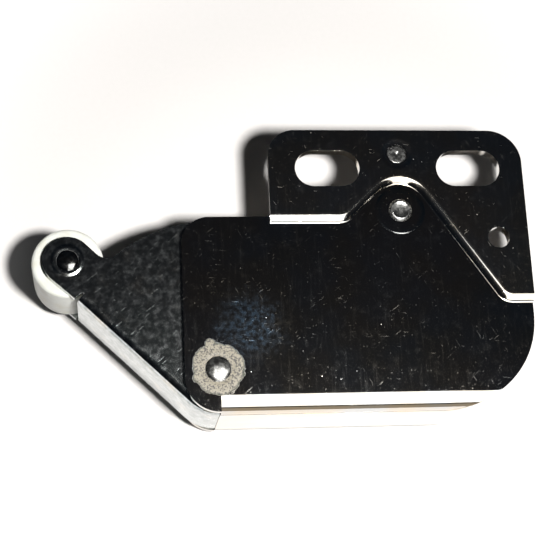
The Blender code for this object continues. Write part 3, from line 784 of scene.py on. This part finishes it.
class LatchFinish(bpy.types.PropertyGroup):
    """Colours of the platings, the steel and the nylon."""

    nickel: colour("Nickel", "Bright plating", (0.60, 0.61, 0.61))
    warm_nickel: colour("Warm nickel", "Slightly yellowed plating", (0.66, 0.60, 0.51))
    stain: colour("Stain", "Blue temper stain", (0.22, 0.42, 0.66))
    tarnish: colour("Tarnish", "Corroded ring round the rivet", (0.070, 0.057, 0.034))
    pale_tarnish: colour("Pale tarnish", "Lighter grains in the corrosion", (0.125, 0.112, 0.082))
    crust_edge: colour("Crust edge", "Grey-green rim of the corrosion", (0.045, 0.050, 0.042))
    pit: colour("Pit", "Dark pits in the corrosion", (0.012, 0.009, 0.006))
    bloom_dark: colour("Dark bloom", "Dull parts of the lever", (0.34, 0.37, 0.37))
    bloom_light: colour("Light bloom", "Lighter parts of the lever", (0.60, 0.63, 0.63))
    rivet: colour("Rivet steel", "Rivets and the roller pin", (0.42, 0.42, 0.41))
    steel: colour("Plain steel", "Sleeve, spacers and pawl", (0.45, 0.45, 0.46))
    spring: colour("Spring steel", "Both springs", (0.30, 0.30, 0.33))
    nylon: colour("Nylon", "The roller", (0.38, 0.39, 0.37))
    aged_nylon: colour("Aged nylon", "Yellowed parts of the roller", (0.34, 0.335, 0.29))


class LatchStage(bpy.types.PropertyGroup):
    """The lamp, the bright card and the room."""

    key_power: FloatProperty(name="Lamp", description="Power of the lamp", default=0.80,
                             unit="POWER")
    key_size: length("Lamp size", "Width of the lamp", 0.018)
    card: FloatProperty(name="Card", description="Brightness of the bright card", default=2.4)
    room: FloatProperty(name="Room", description="Brightness of the room", default=1.0)


def shape():
    """The latch's size settings."""
    return bpy.context.scene.latch_shape


def finish_colours():
    """The finish colours by name, as plain tuples."""
    group = bpy.context.scene.latch_finish
    return {key: tuple(getattr(group, key)) for key in LatchFinish.__annotations__}


def look_of(name):
    """A material by name, made on first use."""
    found = bpy.data.materials.get(name)
    if found is not None:
        return found
    tones = finish_colours()
    makers = {
        "bright_nickel": lambda: bright_nickel(tones),
        "worn_nickel": lambda: worn_nickel(tones),
        "rivet_head": lambda: struck_steel("rivet_head", tones["rivet"], 0.22, 0.02),
        "polished_pin": lambda: struck_steel("polished_pin", tones["rivet"], 0.10, 0.006),
        "turned_steel": lambda: struck_steel("turned_steel", tones["steel"], 0.28, 0.015),
        "moulded_nylon": lambda: moulded_nylon(tones),
        "spring_wire": lambda: drawn_wire("spring_wire", tones["spring"]),
    }
    return makers[name]()


# ---------------------------------------------------------------- pressed sheets
def step_profile():
    """(inset, height) points down the step from the flange to the case face."""
    sizes = shape()
    top = sizes.step_top / MM
    low = sizes.step_low / MM
    slope = math.degrees(sizes.step_angle)
    bend_top = [(top * math.sin(math.radians(a)), -top * (1 - math.cos(math.radians(a))))
                for a in (slope * i / 9 for i in range(10))]
    low_drop = low * (1 - math.cos(sizes.step_angle))
    straight = STEP + bend_top[-1][1] - low_drop
    run = bend_top[-1][0] + straight / math.tan(sizes.step_angle)
    end = run + low * math.sin(sizes.step_angle)
    bend_low = [(end - low * math.sin(math.radians(a)),
                 FACE + low * (1 - math.cos(math.radians(a))))
                for a in (slope * (6 - i) / 6 for i in range(7))]
    start = STEP_REACH - end
    path = [(-FLAT_RIM, 0.0)] + bend_top + bend_low + [(end + FLAT_RIM, FACE)]
    return [(start + inset, z) for inset, z in path]


def mount_holes(grow):
    """Slots and spare hole of a flange layer."""
    spare = circle(SPARE_HOLE, SPARE_HOLE_RADIUS + grow)
    return [slot_outline(x, grow) for x in SLOT_PLACES] + [spare]


def front_surface():
    """The outer surface of the front cover."""
    bm = bmesh.new()
    profile = step_profile()
    first = profile[0][0]
    last = profile[-1][0]
    dent = [(DENT_RADIUS, 0.0), (2.15, 0.0), (2.0, -0.01), (1.75, -0.05), (1.5, -0.07),
            (1.3, -0.07)]
    holes = mount_holes(0.0) + [circle(FLANGE_RIVET, DENT_RADIUS)]
    add_flat(bm, flange_outline(first), holes, 0.0)
    add_collar(bm, FLANGE_RIVET, dent)
    rows = []
    for i, (inset, z) in enumerate(profile):
        right = FLANGE_RIGHT + (CASE_RIGHT - FLANGE_RIGHT) * i / (len(profile) - 1)
        rows.append(raised(shoulder(inset, right, FLANGE_LEFT), z))
    add_strip(bm, rows)

    edge, _ = bottom_edge(SKIRT_START, skirt_turn() - 0.6, 0.0)
    line = CASE_BOTTOM + SKIRT_BEND
    outline = [Vector((place.x, line + FLAT_RIM)) for place in edge]
    outline += arc(corner_centre(), CASE_BOTTOM_RIGHT_RADIUS, skirt_turn(), 360)
    outline += shoulder(last, CASE_RIGHT, FLANGE_LEFT)
    outline += [Vector((FLANGE_LEFT - 0.08, CASE_TOP))] + left_side(CASE_TOP)
    outline += [Vector((SKIRT_START, CASE_BOTTOM))]
    pad = [(PAD_RADIUS, FACE), (3.24, FACE), (3.16, FACE + 0.008), (3.06, FACE + 0.035),
           (2.96, FACE + 0.045), (2.2, FACE + 0.045), (RIVET_HOLE, FACE + 0.045)]
    sink = [(2.2, FACE), (2.1, FACE), (1.95, FACE - 0.01), (1.75, FACE - 0.03),
            (RIVET_HOLE, FACE - 0.03)]
    add_flat(bm, outline, [circle(PAWL_PIVOT, pad[0][0]), circle(LEVER_PIVOT, sink[0][0])], FACE)
    add_collar(bm, PAWL_PIVOT, pad)
    add_collar(bm, LEVER_PIVOT, sink)
    rows = [raised(outline[:len(edge)], FACE)]
    for share in (k / SKIRT_ROWS for k in range(SKIRT_ROWS + 1)):
        ways = [polar(SKIRT_BEND, 90 - bend_angle(place) * share) for place in edge]
        rows.append([(place.x, line - way.x, FACE - SKIRT_BEND + way.y)
                     for place, way in zip(edge, ways)])
    add_strip(bm, rows)
    return surface_mesh("front_cover_sheet", bm, (0, 0, 1))


def rear_surface():
    """The outer surface of the rear cover."""
    bm = bmesh.new()
    bend = shape().tray_bend / MM
    fold = shape().tray_flange / MM
    plate_inset = TRAY_WALL + bend + FLAT_RIM
    top = CASE_TOP - TRAY_WALL

    inner, ways = bottom_edge(FLOOR_LEFT, 270 + FLOOR_TURN, bend)
    outline = [place - way * FLAT_RIM for place, way in zip(inner, ways)]
    floor = [raised(outline, TRAY_REAR)]
    outline += arc(corner_centre(), CASE_BOTTOM_RIGHT_RADIUS, 270 + FLOOR_TURN, 360)
    outline += shoulder(plate_inset, CASE_RIGHT, TRAY_WALL_LEFT)
    outline += [Vector((TRAY_WALL_LEFT - 0.08, top))] + left_side(top)
    outline += [Vector((FLOOR_LEFT, CASE_BOTTOM))]
    sink = [(DENT_RADIUS, TRAY_REAR), (2.22, TRAY_REAR + 0.02), (RIVET_HOLE + 0.05, TRAY_REAR + 0.4)]
    holes = [circle(PAWL_PIVOT, sink[0][0]), circle(LEVER_PIVOT, sink[0][0])]
    add_flat(bm, outline, holes, TRAY_REAR)
    for centre in (PAWL_PIVOT, LEVER_PIVOT):
        add_collar(bm, centre, sink)

    wall = [(plate_inset, TRAY_REAR)]
    wall += [(TRAY_WALL + bend - x, TRAY_REAR + bend - z) for z, x in quarter(bend, 0, 90)]
    wall += [(TRAY_WALL - fold + x, TRAY_FLANGE_REAR - fold + z) for x, z in quarter(fold, 0, 90)]
    wall.append((TRAY_WALL - fold - FLAT_RIM, TRAY_FLANGE_REAR))
    rows = []
    for i, (inset, z) in enumerate(wall):
        right = CASE_RIGHT if i < 2 else TRAY_WALL_RIGHT
        rows.append(raised(shoulder(inset, right, TRAY_WALL_LEFT), z))
    add_strip(bm, rows)
    flange = flange_outline(wall[-1][0], TRAY_WALL_RIGHT, TRAY_WALL_LEFT, 0.1)
    add_flat(bm, flange, mount_holes(0.1) + [circle(FLANGE_RIVET, 1.3)], TRAY_FLANGE_REAR)

    floor += [moved(inner, ways, x - FLOOR_INSET * x / bend, TRAY_REAR + bend - z)
              for z, x in quarter(bend, 0, 90)]
    edge, _ = bottom_edge(FLOOR_LEFT, 270 + FLOOR_TURN, 0.0)
    drop = [math.cos(math.radians(bend_angle(place))) for place in edge]
    floor.append([(p.x - w.x * FLOOR_INSET, p.y - w.y * FLOOR_INSET,
                   FACE - SKIRT_BEND + (SKIRT_BEND - shape().sheet / MM) * d - SEAM)
                  for p, w, d in zip(edge, ways, drop)])
    add_strip(bm, floor)
    return surface_mesh("rear_cover_sheet", bm, (0, 0, -1))


def lever_surface():
    """The outer surface of the folded lever."""
    bm = bmesh.new()
    bend = shape().lever_bend / MM
    outward = polar(1, WEB_NORMAL)
    along = polar(1, WEB_NORMAL - 90)

    def spot(out, run):
        """A plan point from its distances out of the web line and along it."""
        return LEVER_PIVOT + outward * out + along * run

    def fold_line(offset):
        """The fold from its roller end round the foot of the lever."""
        return [spot(offset, WEB_LENGTH)] + arc(LEVER_PIVOT, offset, WEB_NORMAL, WEB_END)

    boss = arc(ROLLER_AXIS, BOSS_RADIUS, WEB_NORMAL, WEB_NORMAL - 180)
    neck = [boss[-1] - along * 2.3, boss[-1] - along * 3.0 - outward * 0.25]
    sector = arc(LEVER_PIVOT, LEVER_SECTOR, 131, 58, 3.0)
    hub = arc(LEVER_PIVOT, HUB_RADIUS, -25, -84)
    inner = fold_line(WEB_OFFSET - bend - FLAT_RIM)
    outline = list(reversed(inner)) + [spot(WEB_OFFSET - bend - 0.2, WEB_LENGTH + 0.15)]
    outline += [spot(WEB_OFFSET - bend, WEB_LENGTH + 0.35), spot(WEB_OFFSET, WEB_LENGTH + 0.45)]
    outline += boss + neck + sector + hub
    sleeve = circle(LEVER_PIVOT, SLEEVE_HOLE)
    latch = circle(LATCH_PIN, LATCH_HOLE)
    collar = [(DENT_RADIUS, 0.0), (2.15, 0.0), (2.08, 0.01), (1.98, 0.045), (1.88, 0.095),
              (1.78, 0.12), (1.66, 0.125), (1.5, 0.11), (PIN_HOLE, 0.03)]
    for height, way in ((LEVER_FRONT, 1.0), (LEVER_REAR, -1.0)):
        rings = [(radius, height + way * rise) for radius, rise in collar]
        add_flat(bm, outline, [sleeve, latch, circle(ROLLER_AXIS, collar[0][0])], height)
        add_collar(bm, ROLLER_AXIS, rings)
    folds = [(-FLAT_RIM, LEVER_FRONT)]
    folds += [(x, LEVER_FRONT - bend + z) for x, z in quarter(bend, 90, 0)]
    folds += [(x, LEVER_REAR + bend - z) for x, z in quarter(bend, 0, 90)]
    folds.append((-FLAT_RIM, LEVER_REAR))
    add_strip(bm, [raised(fold_line(WEB_OFFSET - bend + x), z) for x, z in folds])
    return surface_mesh("lever_arm_sheet", bm, (0, 0, 1))


# ---------------------------------------------------------------- pieces
class LATCH_OT_front_cover(bpy.types.Operator):
    """Press the front cover from one sheet"""

    bl_idname = "latch.front_cover"
    bl_label = "Front cover"

    def execute(self, context):
        piece = add_piece("front_cover_sheet", front_surface(), look_of("bright_nickel"),
                          "case", "front_cover")
        thicken(piece, shape().sheet, shape().edge)
        return {"FINISHED"}


class LATCH_OT_rear_cover(bpy.types.Operator):
    """Press the rear cover from one sheet"""

    bl_idname = "latch.rear_cover"
    bl_label = "Rear cover"

    def execute(self, context):
        piece = add_piece("rear_cover_sheet", rear_surface(), look_of("bright_nickel"),
                          "case", "rear_cover")
        thicken(piece, shape().sheet, shape().edge)
        return {"FINISHED"}


class LATCH_OT_lever_arm(bpy.types.Operator):
    """Fold the lever from one sheet"""

    bl_idname = "latch.lever_arm"
    bl_label = "Lever arm"

    def execute(self, context):
        piece = add_piece("lever_arm_sheet", lever_surface(), look_of("worn_nickel"),
                          "lever", "lever_arm")
        thicken(piece, shape().sheet, shape().edge)
        return {"FINISHED"}


class LATCH_OT_roller(bpy.types.Operator):
    """Turn the nylon roller"""

    bl_idname = "latch.roller"
    bl_label = "Roller"

    def execute(self, context):
        radius = (ROLLER_HIGH.x - ROLLER_LOW.x) / 2
        front, rear = ROLLER_HIGH.z, ROLLER_LOW.z
        corners = [(1.18, front - 0.12, 0.1), (1.5, front - 0.12, 0.05), (1.7, front - 0.12, 0.1),
                   (2.0, front, 0.15), (radius, front, 0.55), (radius, rear, 0.55),
                   (2.0, rear, 0.15), (1.7, rear + 0.12, 0.1), (1.18, rear + 0.12, 0.1)]
        mesh = turned_mesh("nylon_roller", ROLLER_AXIS, rounded_profile(corners),
                           look_of("moulded_nylon"), shape().sides, closed=True)
        add_piece("nylon_roller", mesh, None, "roller", "roller")
        return {"FINISHED"}


class LATCH_OT_rivets(bpy.types.Operator):
    """Turn the rivets, the roller pin and the latch pin"""

    bl_idname = "latch.rivets"
    bl_label = "Rivets and pins"

    def execute(self, context):
        rear = TRAY_REAR
        seat = FACE + 0.05
        shank = [(1.5, seat, 0), (1.5, rear + 0.35, 0), (2.15, rear + 0.01, 0.05),
                 (0, rear + 0.01, 0)]
        lever_head = [(0, seat + 0.42, 0), (0.75, seat + 0.37, 0.3), (1.35, seat + 0.2, 0.2),
                      (1.62, seat + 0.02, 0.08), (1.6, seat, 0)]
        pawl_head = [(0, seat + 0.26, 0), (0.8, seat + 0.28, 0.3), (1.18, seat + 0.42, 0.15),
                     (1.5, seat + 0.18, 0.12), (1.5, seat, 0)]
        flush = [(0, -0.24, 0), (0.12, -0.22, 0.05), (0.25, -0.1, 0.08), (0.9, -0.07, 0.2),
                 (1.24, -0.1, 0.08), (1.25, -1.6, 0), (1.1, -1.66, 0.05), (0, -1.66, 0)]
        front, back = LEVER_FRONT + 0.05, LEVER_REAR - 0.05
        dome = [(0, front + 0.45, 0), (0.8, front + 0.4, 0.35), (1.3, front + 0.2, 0.2),
                (1.5, front - 0.05, 0.05), (1.1, front - 0.08, 0), (1.1, back + 0.08, 0),
                (1.5, back + 0.05, 0.05), (1.3, back - 0.18, 0.1), (0, back - 0.22, 0)]
        pin_low, pin_high = limits("latch_pin")
        cross = [(0, pin_high.z, 0), (1.2, pin_high.z, 0.12), (1.2, pin_low.z, 0.12),
                 (0, pin_low.z, 0)]
        jobs = (
            ("lever_rivet_head", LEVER_PIVOT, lever_head + shank, "rivet_head", "case",
             "lever_rivet"),
            ("pawl_rivet_head", PAWL_PIVOT, pawl_head + shank, "rivet_head", "case",
             "pawl_rivet"),
            ("flange_rivet_disc", FLANGE_RIVET, flush, "rivet_head", "case", "flange_rivet"),
            ("roller_axle", ROLLER_AXIS, dome, "polished_pin", "lever", "roller_pin"),
            ("latch_cross_pin", LATCH_PIN, cross, "turned_steel", "lever", "latch_pin"),
        )
        for name, centre, corners, look, body, node in jobs:
            mesh = turned_mesh(name, centre, rounded_profile(corners), look_of(look),
                               shape().sides)
            slot = "plain_steel" if look == "turned_steel" else "rivet_steel"
            add_piece(name, mesh, None, body, node)
        return {"FINISHED"}


class LATCH_OT_sleeves(bpy.types.Operator):
    """Turn the bearing sleeve and the pawl's spacers"""

    bl_idname = "latch.sleeves"
    bl_label = "Sleeve and spacers"

    def execute(self, context):
        for node in ("pivot_sleeve", "pawl_spacer_front", "pawl_spacer_rear"):
            low, high = limits(node)
            outer = (high.x - low.x) / 2
            corners = [(1.55, high.z, 0.08), (outer, high.z, 0.1), (outer, low.z, 0.1),
                       (1.55, low.z, 0.08)]
            mesh = turned_mesh(node + "_tube", middle(node), rounded_profile(corners),
                               look_of("turned_steel"), shape().sides, closed=True)
            add_piece(node + "_tube", mesh, None, "case", node)
        return {"FINISHED"}


class LATCH_OT_pawl(bpy.types.Operator):
    """Stamp the pawl"""

    bl_idname = "latch.pawl"
    bl_label = "Pawl"

    def execute(self, context):
        low, high = limits("pawl")
        held = LATCH_PIN - LEVER_PIVOT
        held.rotate(Matrix.Rotation(math.radians(-LEVER_TRAVEL), 2))
        caught = LEVER_PIVOT + held
        side = caught.x + 1.35
        under = caught.y + 1.35
        eye = arc(PAWL_PIVOT, 3.1, -5, 185)
        nose = [Vector((side + 0.2, caught.y + 5.6)), Vector((side - 2.0, under + 0.9)),
                Vector((side - 2.3, under + 0.35)), Vector((side - 2.1, under)),
                Vector((side - 0.3, under)), Vector((side, under - 0.3)),
                Vector((side, caught.y - 1.2))]
        tail = [Vector((side + 0.5, caught.y - 1.8)), Vector((side + 2.2, caught.y - 1.8)),
                Vector((side + 2.9, caught.y - 1.1))]
        turn = Matrix.Rotation(math.radians(PAWL_TRAVEL), 2)
        outline = [PAWL_PIVOT + turn @ (p - PAWL_PIVOT) for p in eye + nose + tail]
        hole = circle(PAWL_PIVOT, RIVET_HOLE)
        bm = bmesh.new()
        for height in (low.z, high.z):
            add_flat(bm, outline, [hole], height)
        for loop in (outline, hole):
            add_strip(bm, [raised(loop, low.z), raised(loop, high.z)], closed=True)
        piece = add_piece("stamped_pawl", solid_mesh("stamped_pawl", bm), look_of("turned_steel"),
                          "pawl", "pawl")
        soften(piece, 0.00012)
        return {"FINISHED"}


class LATCH_OT_springs(bpy.types.Operator):
    """Wind the lever's spring and the pawl's spring"""

    bl_idname = "latch.springs"
    bl_label = "Springs"

    @staticmethod
    def coil(centre, radius, start, sweep, low, pitch):
        """Points of a coil that climbs by the pitch each turn."""
        count = round(sweep / 9) + 1
        points = []
        for i in range(count):
            share = i / (count - 1)
            place = centre + polar(radius, start + sweep * share)
            points.append((place.x, place.y, low + pitch * sweep * share / 360))
        return points

    def execute(self, context):
        outward = polar(1, WEB_NORMAL)
        along = polar(1, WEB_NORMAL - 90)
        low = MAIN_SPRING_LOW
        sweep = 270 - WEB_NORMAL + 360 * 4
        turns = self.coil(LEVER_PIVOT, MAIN_COIL, WEB_NORMAL, sweep, low, 0.85)
        high = turns[-1][2]
        tip = LEVER_PIVOT + outward * (WEB_OFFSET - 1.25) + along * 12
        bend = LEVER_PIVOT + outward * 3.02 + along * 1.2
        rest = (LEVER_PIVOT.x + 12, CASE_BOTTOM + 1.25, high)
        points = [(tip.x, tip.y, low), (bend.x, bend.y, low)] + turns
        points += [(LEVER_PIVOT.x + 1.2, LEVER_PIVOT.y - 3.02, high), rest]
        mesh = wire_mesh("lever_torsion_spring", points, 0.35, look_of("spring_wire"))
        add_piece("lever_torsion_spring", mesh, None, "case", "main_spring")

        low = TRAY_REAR + 0.8 + 0.55
        turns = self.coil(PAWL_PIVOT, PAWL_COIL, PAWL_COIL_START, 47 + 360 * 3, low, 0.62)
        high = turns[-1][2]
        leg = PAWL_PIVOT + polar(PAWL_COIL, PAWL_COIL_START) - polar(1, 180 + LEFT_SLOPE) * -5.0
        leg += polar(0.55, 90 + LEFT_SLOPE)
        down = PAWL_PIVOT + Vector((-3.65, -6.2))
        hook = down + Vector((-0.35, -0.6))
        points = [(leg.x, leg.y, low)] + turns
        points += [(down.x, down.y, high), (hook.x, hook.y, high + 0.3), (hook.x, hook.y, -6.8)]
        mesh = wire_mesh("pawl_return_spring", points, 0.25, look_of("spring_wire"))
        add_piece("pawl_return_spring", mesh, None, "case", "pawl_spring")
        return {"FINISHED"}


# ---------------------------------------------------------------- the stage
CAMERA_PLACE = Vector((-38.07, -66.36, 167.75))
CAMERA_WAY = Vector((0.12097, 0.29411, -0.94808))
CAMERA_UP = Vector((0.00875, 0.95474, 0.29730))
CAMERA_ANGLE = 21.99
LAMP_PLACE = Vector((6.0, -56.0, 140.0))
CARD_RADIUS = 170.0          # the bright card is part of a drum about the X axis
CARD_TILTS = (4.0, 78.0)     # degrees from upright, towards -Y
CARD_X = (-34.0, 82.0)
LOW_CARD_Y = -50.0
LOW_CARD_SIDES = (-9.0, 1.0)
LAMP_AIM = Vector((-8, -12, -6))
FLOOR_SIZE = 4.0
FLOOR_GAP = 1.0              # the floor lies this far below the case
FLOOR_CENTRE = (-8.0, -12.0)
GLOW_START = 34.0            # the floor's glow rises between these distances
GLOW_FULL = 100.0


def pose_matrix(place, way, up):
    """A camera or lamp matrix that looks along a way."""
    back = -way.normalized()
    right = up.cross(back).normalized()
    above = back.cross(right)
    turned = Matrix((right, above, back)).transposed().to_4x4()
    return Matrix.Translation(place * MM) @ turned


class LATCH_OT_stage(bpy.types.Operator):
    """Set up the floor, the camera, the lamp, the cards and the room"""

    bl_idname = "latch.stage"
    bl_label = "Stage"

    def execute(self, context):
        scene = context.scene
        scene.view_settings.view_transform = "Standard"
        self.add_camera(scene)
        self.add_lamp(scene)
        drum = arc(Vector((0, 0)), CARD_RADIUS, 90 + CARD_TILTS[0], 90 + CARD_TILTS[1])
        self.add_card(scene, "bright_card", drum, (1.0, 0.99, 0.97), scene.latch_stage.card)
        low = [(LOW_CARD_Y, LOW_CARD_SIDES[0]), (LOW_CARD_Y, LOW_CARD_SIDES[1])]
        self.add_card(scene, "low_card", low, (0.42, 0.36, 0.28), 1.0)
        self.add_floor(scene)
        self.light_room(scene)
        return {"FINISHED"}

    def add_camera(self, scene):
        """The camera, looking down on the mounting face."""
        data = bpy.data.cameras.new("camera")
        data.sensor_fit = "HORIZONTAL"
        data.angle = math.radians(CAMERA_ANGLE)
        data.clip_start = 0.01
        data.clip_end = 20.0
        camera = bpy.data.objects.new("camera", data)
        camera.matrix_world = pose_matrix(CAMERA_PLACE, CAMERA_WAY, CAMERA_UP)
        scene.collection.objects.link(camera)
        scene.camera = camera

    def add_lamp(self, scene):
        """One small round lamp."""
        data = bpy.data.lights.new("lamp", "AREA")
        data.shape = "DISK"
        data.size = scene.latch_stage.key_size
        data.energy = scene.latch_stage.key_power
        data.color = (1.0, 0.985, 0.96)
        lamp = bpy.data.objects.new("lamp", data)
        lamp.matrix_world = pose_matrix(LAMP_PLACE, LAMP_AIM - LAMP_PLACE, Vector((0, 1, 0)))
        scene.collection.objects.link(lamp)

    def add_card(self, scene, name, points, tone, strength):
        """A glowing card that only shows in reflections, from (y, z) points across it."""
        mesh = bpy.data.meshes.new(name)
        corners = [(x * MM, y * MM, z * MM) for y, z in points for x in CARD_X]
        faces = [(2 * i, 2 * i + 1, 2 * i + 3, 2 * i + 2) for i in range(len(points) - 1)]
        mesh.from_pydata(corners, [], faces)
        graph = new_graph(name)
        glow = graph.add("ShaderNodeEmission", {}, {"Color": (*tone, 1.0), "Strength": strength})
        output = graph.add("ShaderNodeOutputMaterial")
        graph.tree.links.new(glow.outputs[0], output.inputs[0])
        mesh.materials.append(graph.owner)
        card = bpy.data.objects.new(name, mesh)
        card.visible_camera = False
        card.visible_diffuse = False
        card.visible_shadow = False
        scene.collection.objects.link(card)

    def add_floor(self, scene):
        """A pale floor that stays bright far from the lamp."""
        mesh = bpy.data.meshes.new("floor")
        half = FLOOR_SIZE / 2
        level = (TRAY_REAR - FLOOR_GAP) * MM
        corners = [(-half, -half, level), (half, -half, level), (half, half, level),
                   (-half, half, level)]
        mesh.from_pydata(corners, [], [(0, 1, 2, 3)])
        graph = new_graph("pale_floor")
        place = graph.place()
        distance = graph.away(place, FLOOR_CENTRE)
        fibre = graph.noise(place, 1.5, 3.0)
        tone = graph.mix(fibre, (0.41, 0.40, 0.395), (0.43, 0.42, 0.415))
        rise = distance.ramp(GLOW_START, GLOW_FULL)
        glow = graph.mix(rise, (0.0, 0.0, 0.0), (0.95, 0.95, 0.95))
        graph.surface({"Base Color": tone, "Roughness": 0.9, "Emission Color": glow,
                       "Emission Strength": 1.0})
        mesh.materials.append(graph.owner)
        floor = bpy.data.objects.new("floor", mesh)
        scene.collection.objects.link(floor)

    def light_room(self, scene):
        """A dim room round the object, pale only where it is seen directly."""
        world = bpy.data.worlds.new("room")
        graph = Graph(world)
        way = Value(graph, graph.add("ShaderNodeTexCoord").outputs["Generated"])
        blotch = graph.noise(way, 5.0, 3.0, 0.6)
        dim = graph.mix(blotch.ramp(0.35, 0.65), (0.003, 0.006, 0.010), (0.008, 0.008, 0.010))
        rays = graph.add("ShaderNodeLightPath")
        seen = graph.mix(Value(graph, rays.outputs["Is Camera Ray"]), dim, (1.0, 1.0, 1.0))
        shader = graph.add("ShaderNodeBackground", {},
                           {"Color": seen, "Strength": scene.latch_stage.room})
        output = graph.add("ShaderNodeOutputWorld")
        graph.tree.links.new(shader.outputs[0], output.inputs[0])
        scene.world = world


class LATCH_PT_panel(bpy.types.Panel):
    """Lists the latch's operators and settings"""

    bl_idname = "LATCH_PT_panel"
    bl_label = "Roller latch"
    bl_space_type = "VIEW_3D"
    bl_region_type = "UI"
    bl_category = "Latch"

    def draw(self, context):
        column = self.layout.column()
        for operator in OPERATORS:
            column.operator(operator.bl_idname)
        for name, group in GROUPS.items():
            for key in group.__annotations__:
                column.prop(getattr(context.scene, name), key)


GROUPS = {"latch_shape": LatchShape, "latch_finish": LatchFinish, "latch_stage": LatchStage}
OPERATORS = (LATCH_OT_stage, LATCH_OT_front_cover, LATCH_OT_rear_cover, LATCH_OT_lever_arm,
             LATCH_OT_roller, LATCH_OT_rivets, LATCH_OT_sleeves, LATCH_OT_pawl, LATCH_OT_springs)


def register():
    """Register the classes and hang their settings on the scene."""
    for item in (*GROUPS.values(), *OPERATORS, LATCH_PT_panel):
        bpy.utils.register_class(item)
    for name, group in GROUPS.items():
        setattr(bpy.types.Scene, name, PointerProperty(type=group))


def unregister():
    """Take the settings and classes away again."""
    for name in GROUPS:
        delattr(bpy.types.Scene, name)
    for item in (LATCH_PT_panel, *reversed(OPERATORS), *reversed(GROUPS.values())):
        bpy.utils.unregister_class(item)


def main():
    """Build everything."""
    register()
    for operator in OPERATORS:
        group, name = operator.bl_idname.split(".")
        getattr(getattr(bpy.ops, group), name)()


if __name__ == "__main__":
    main()
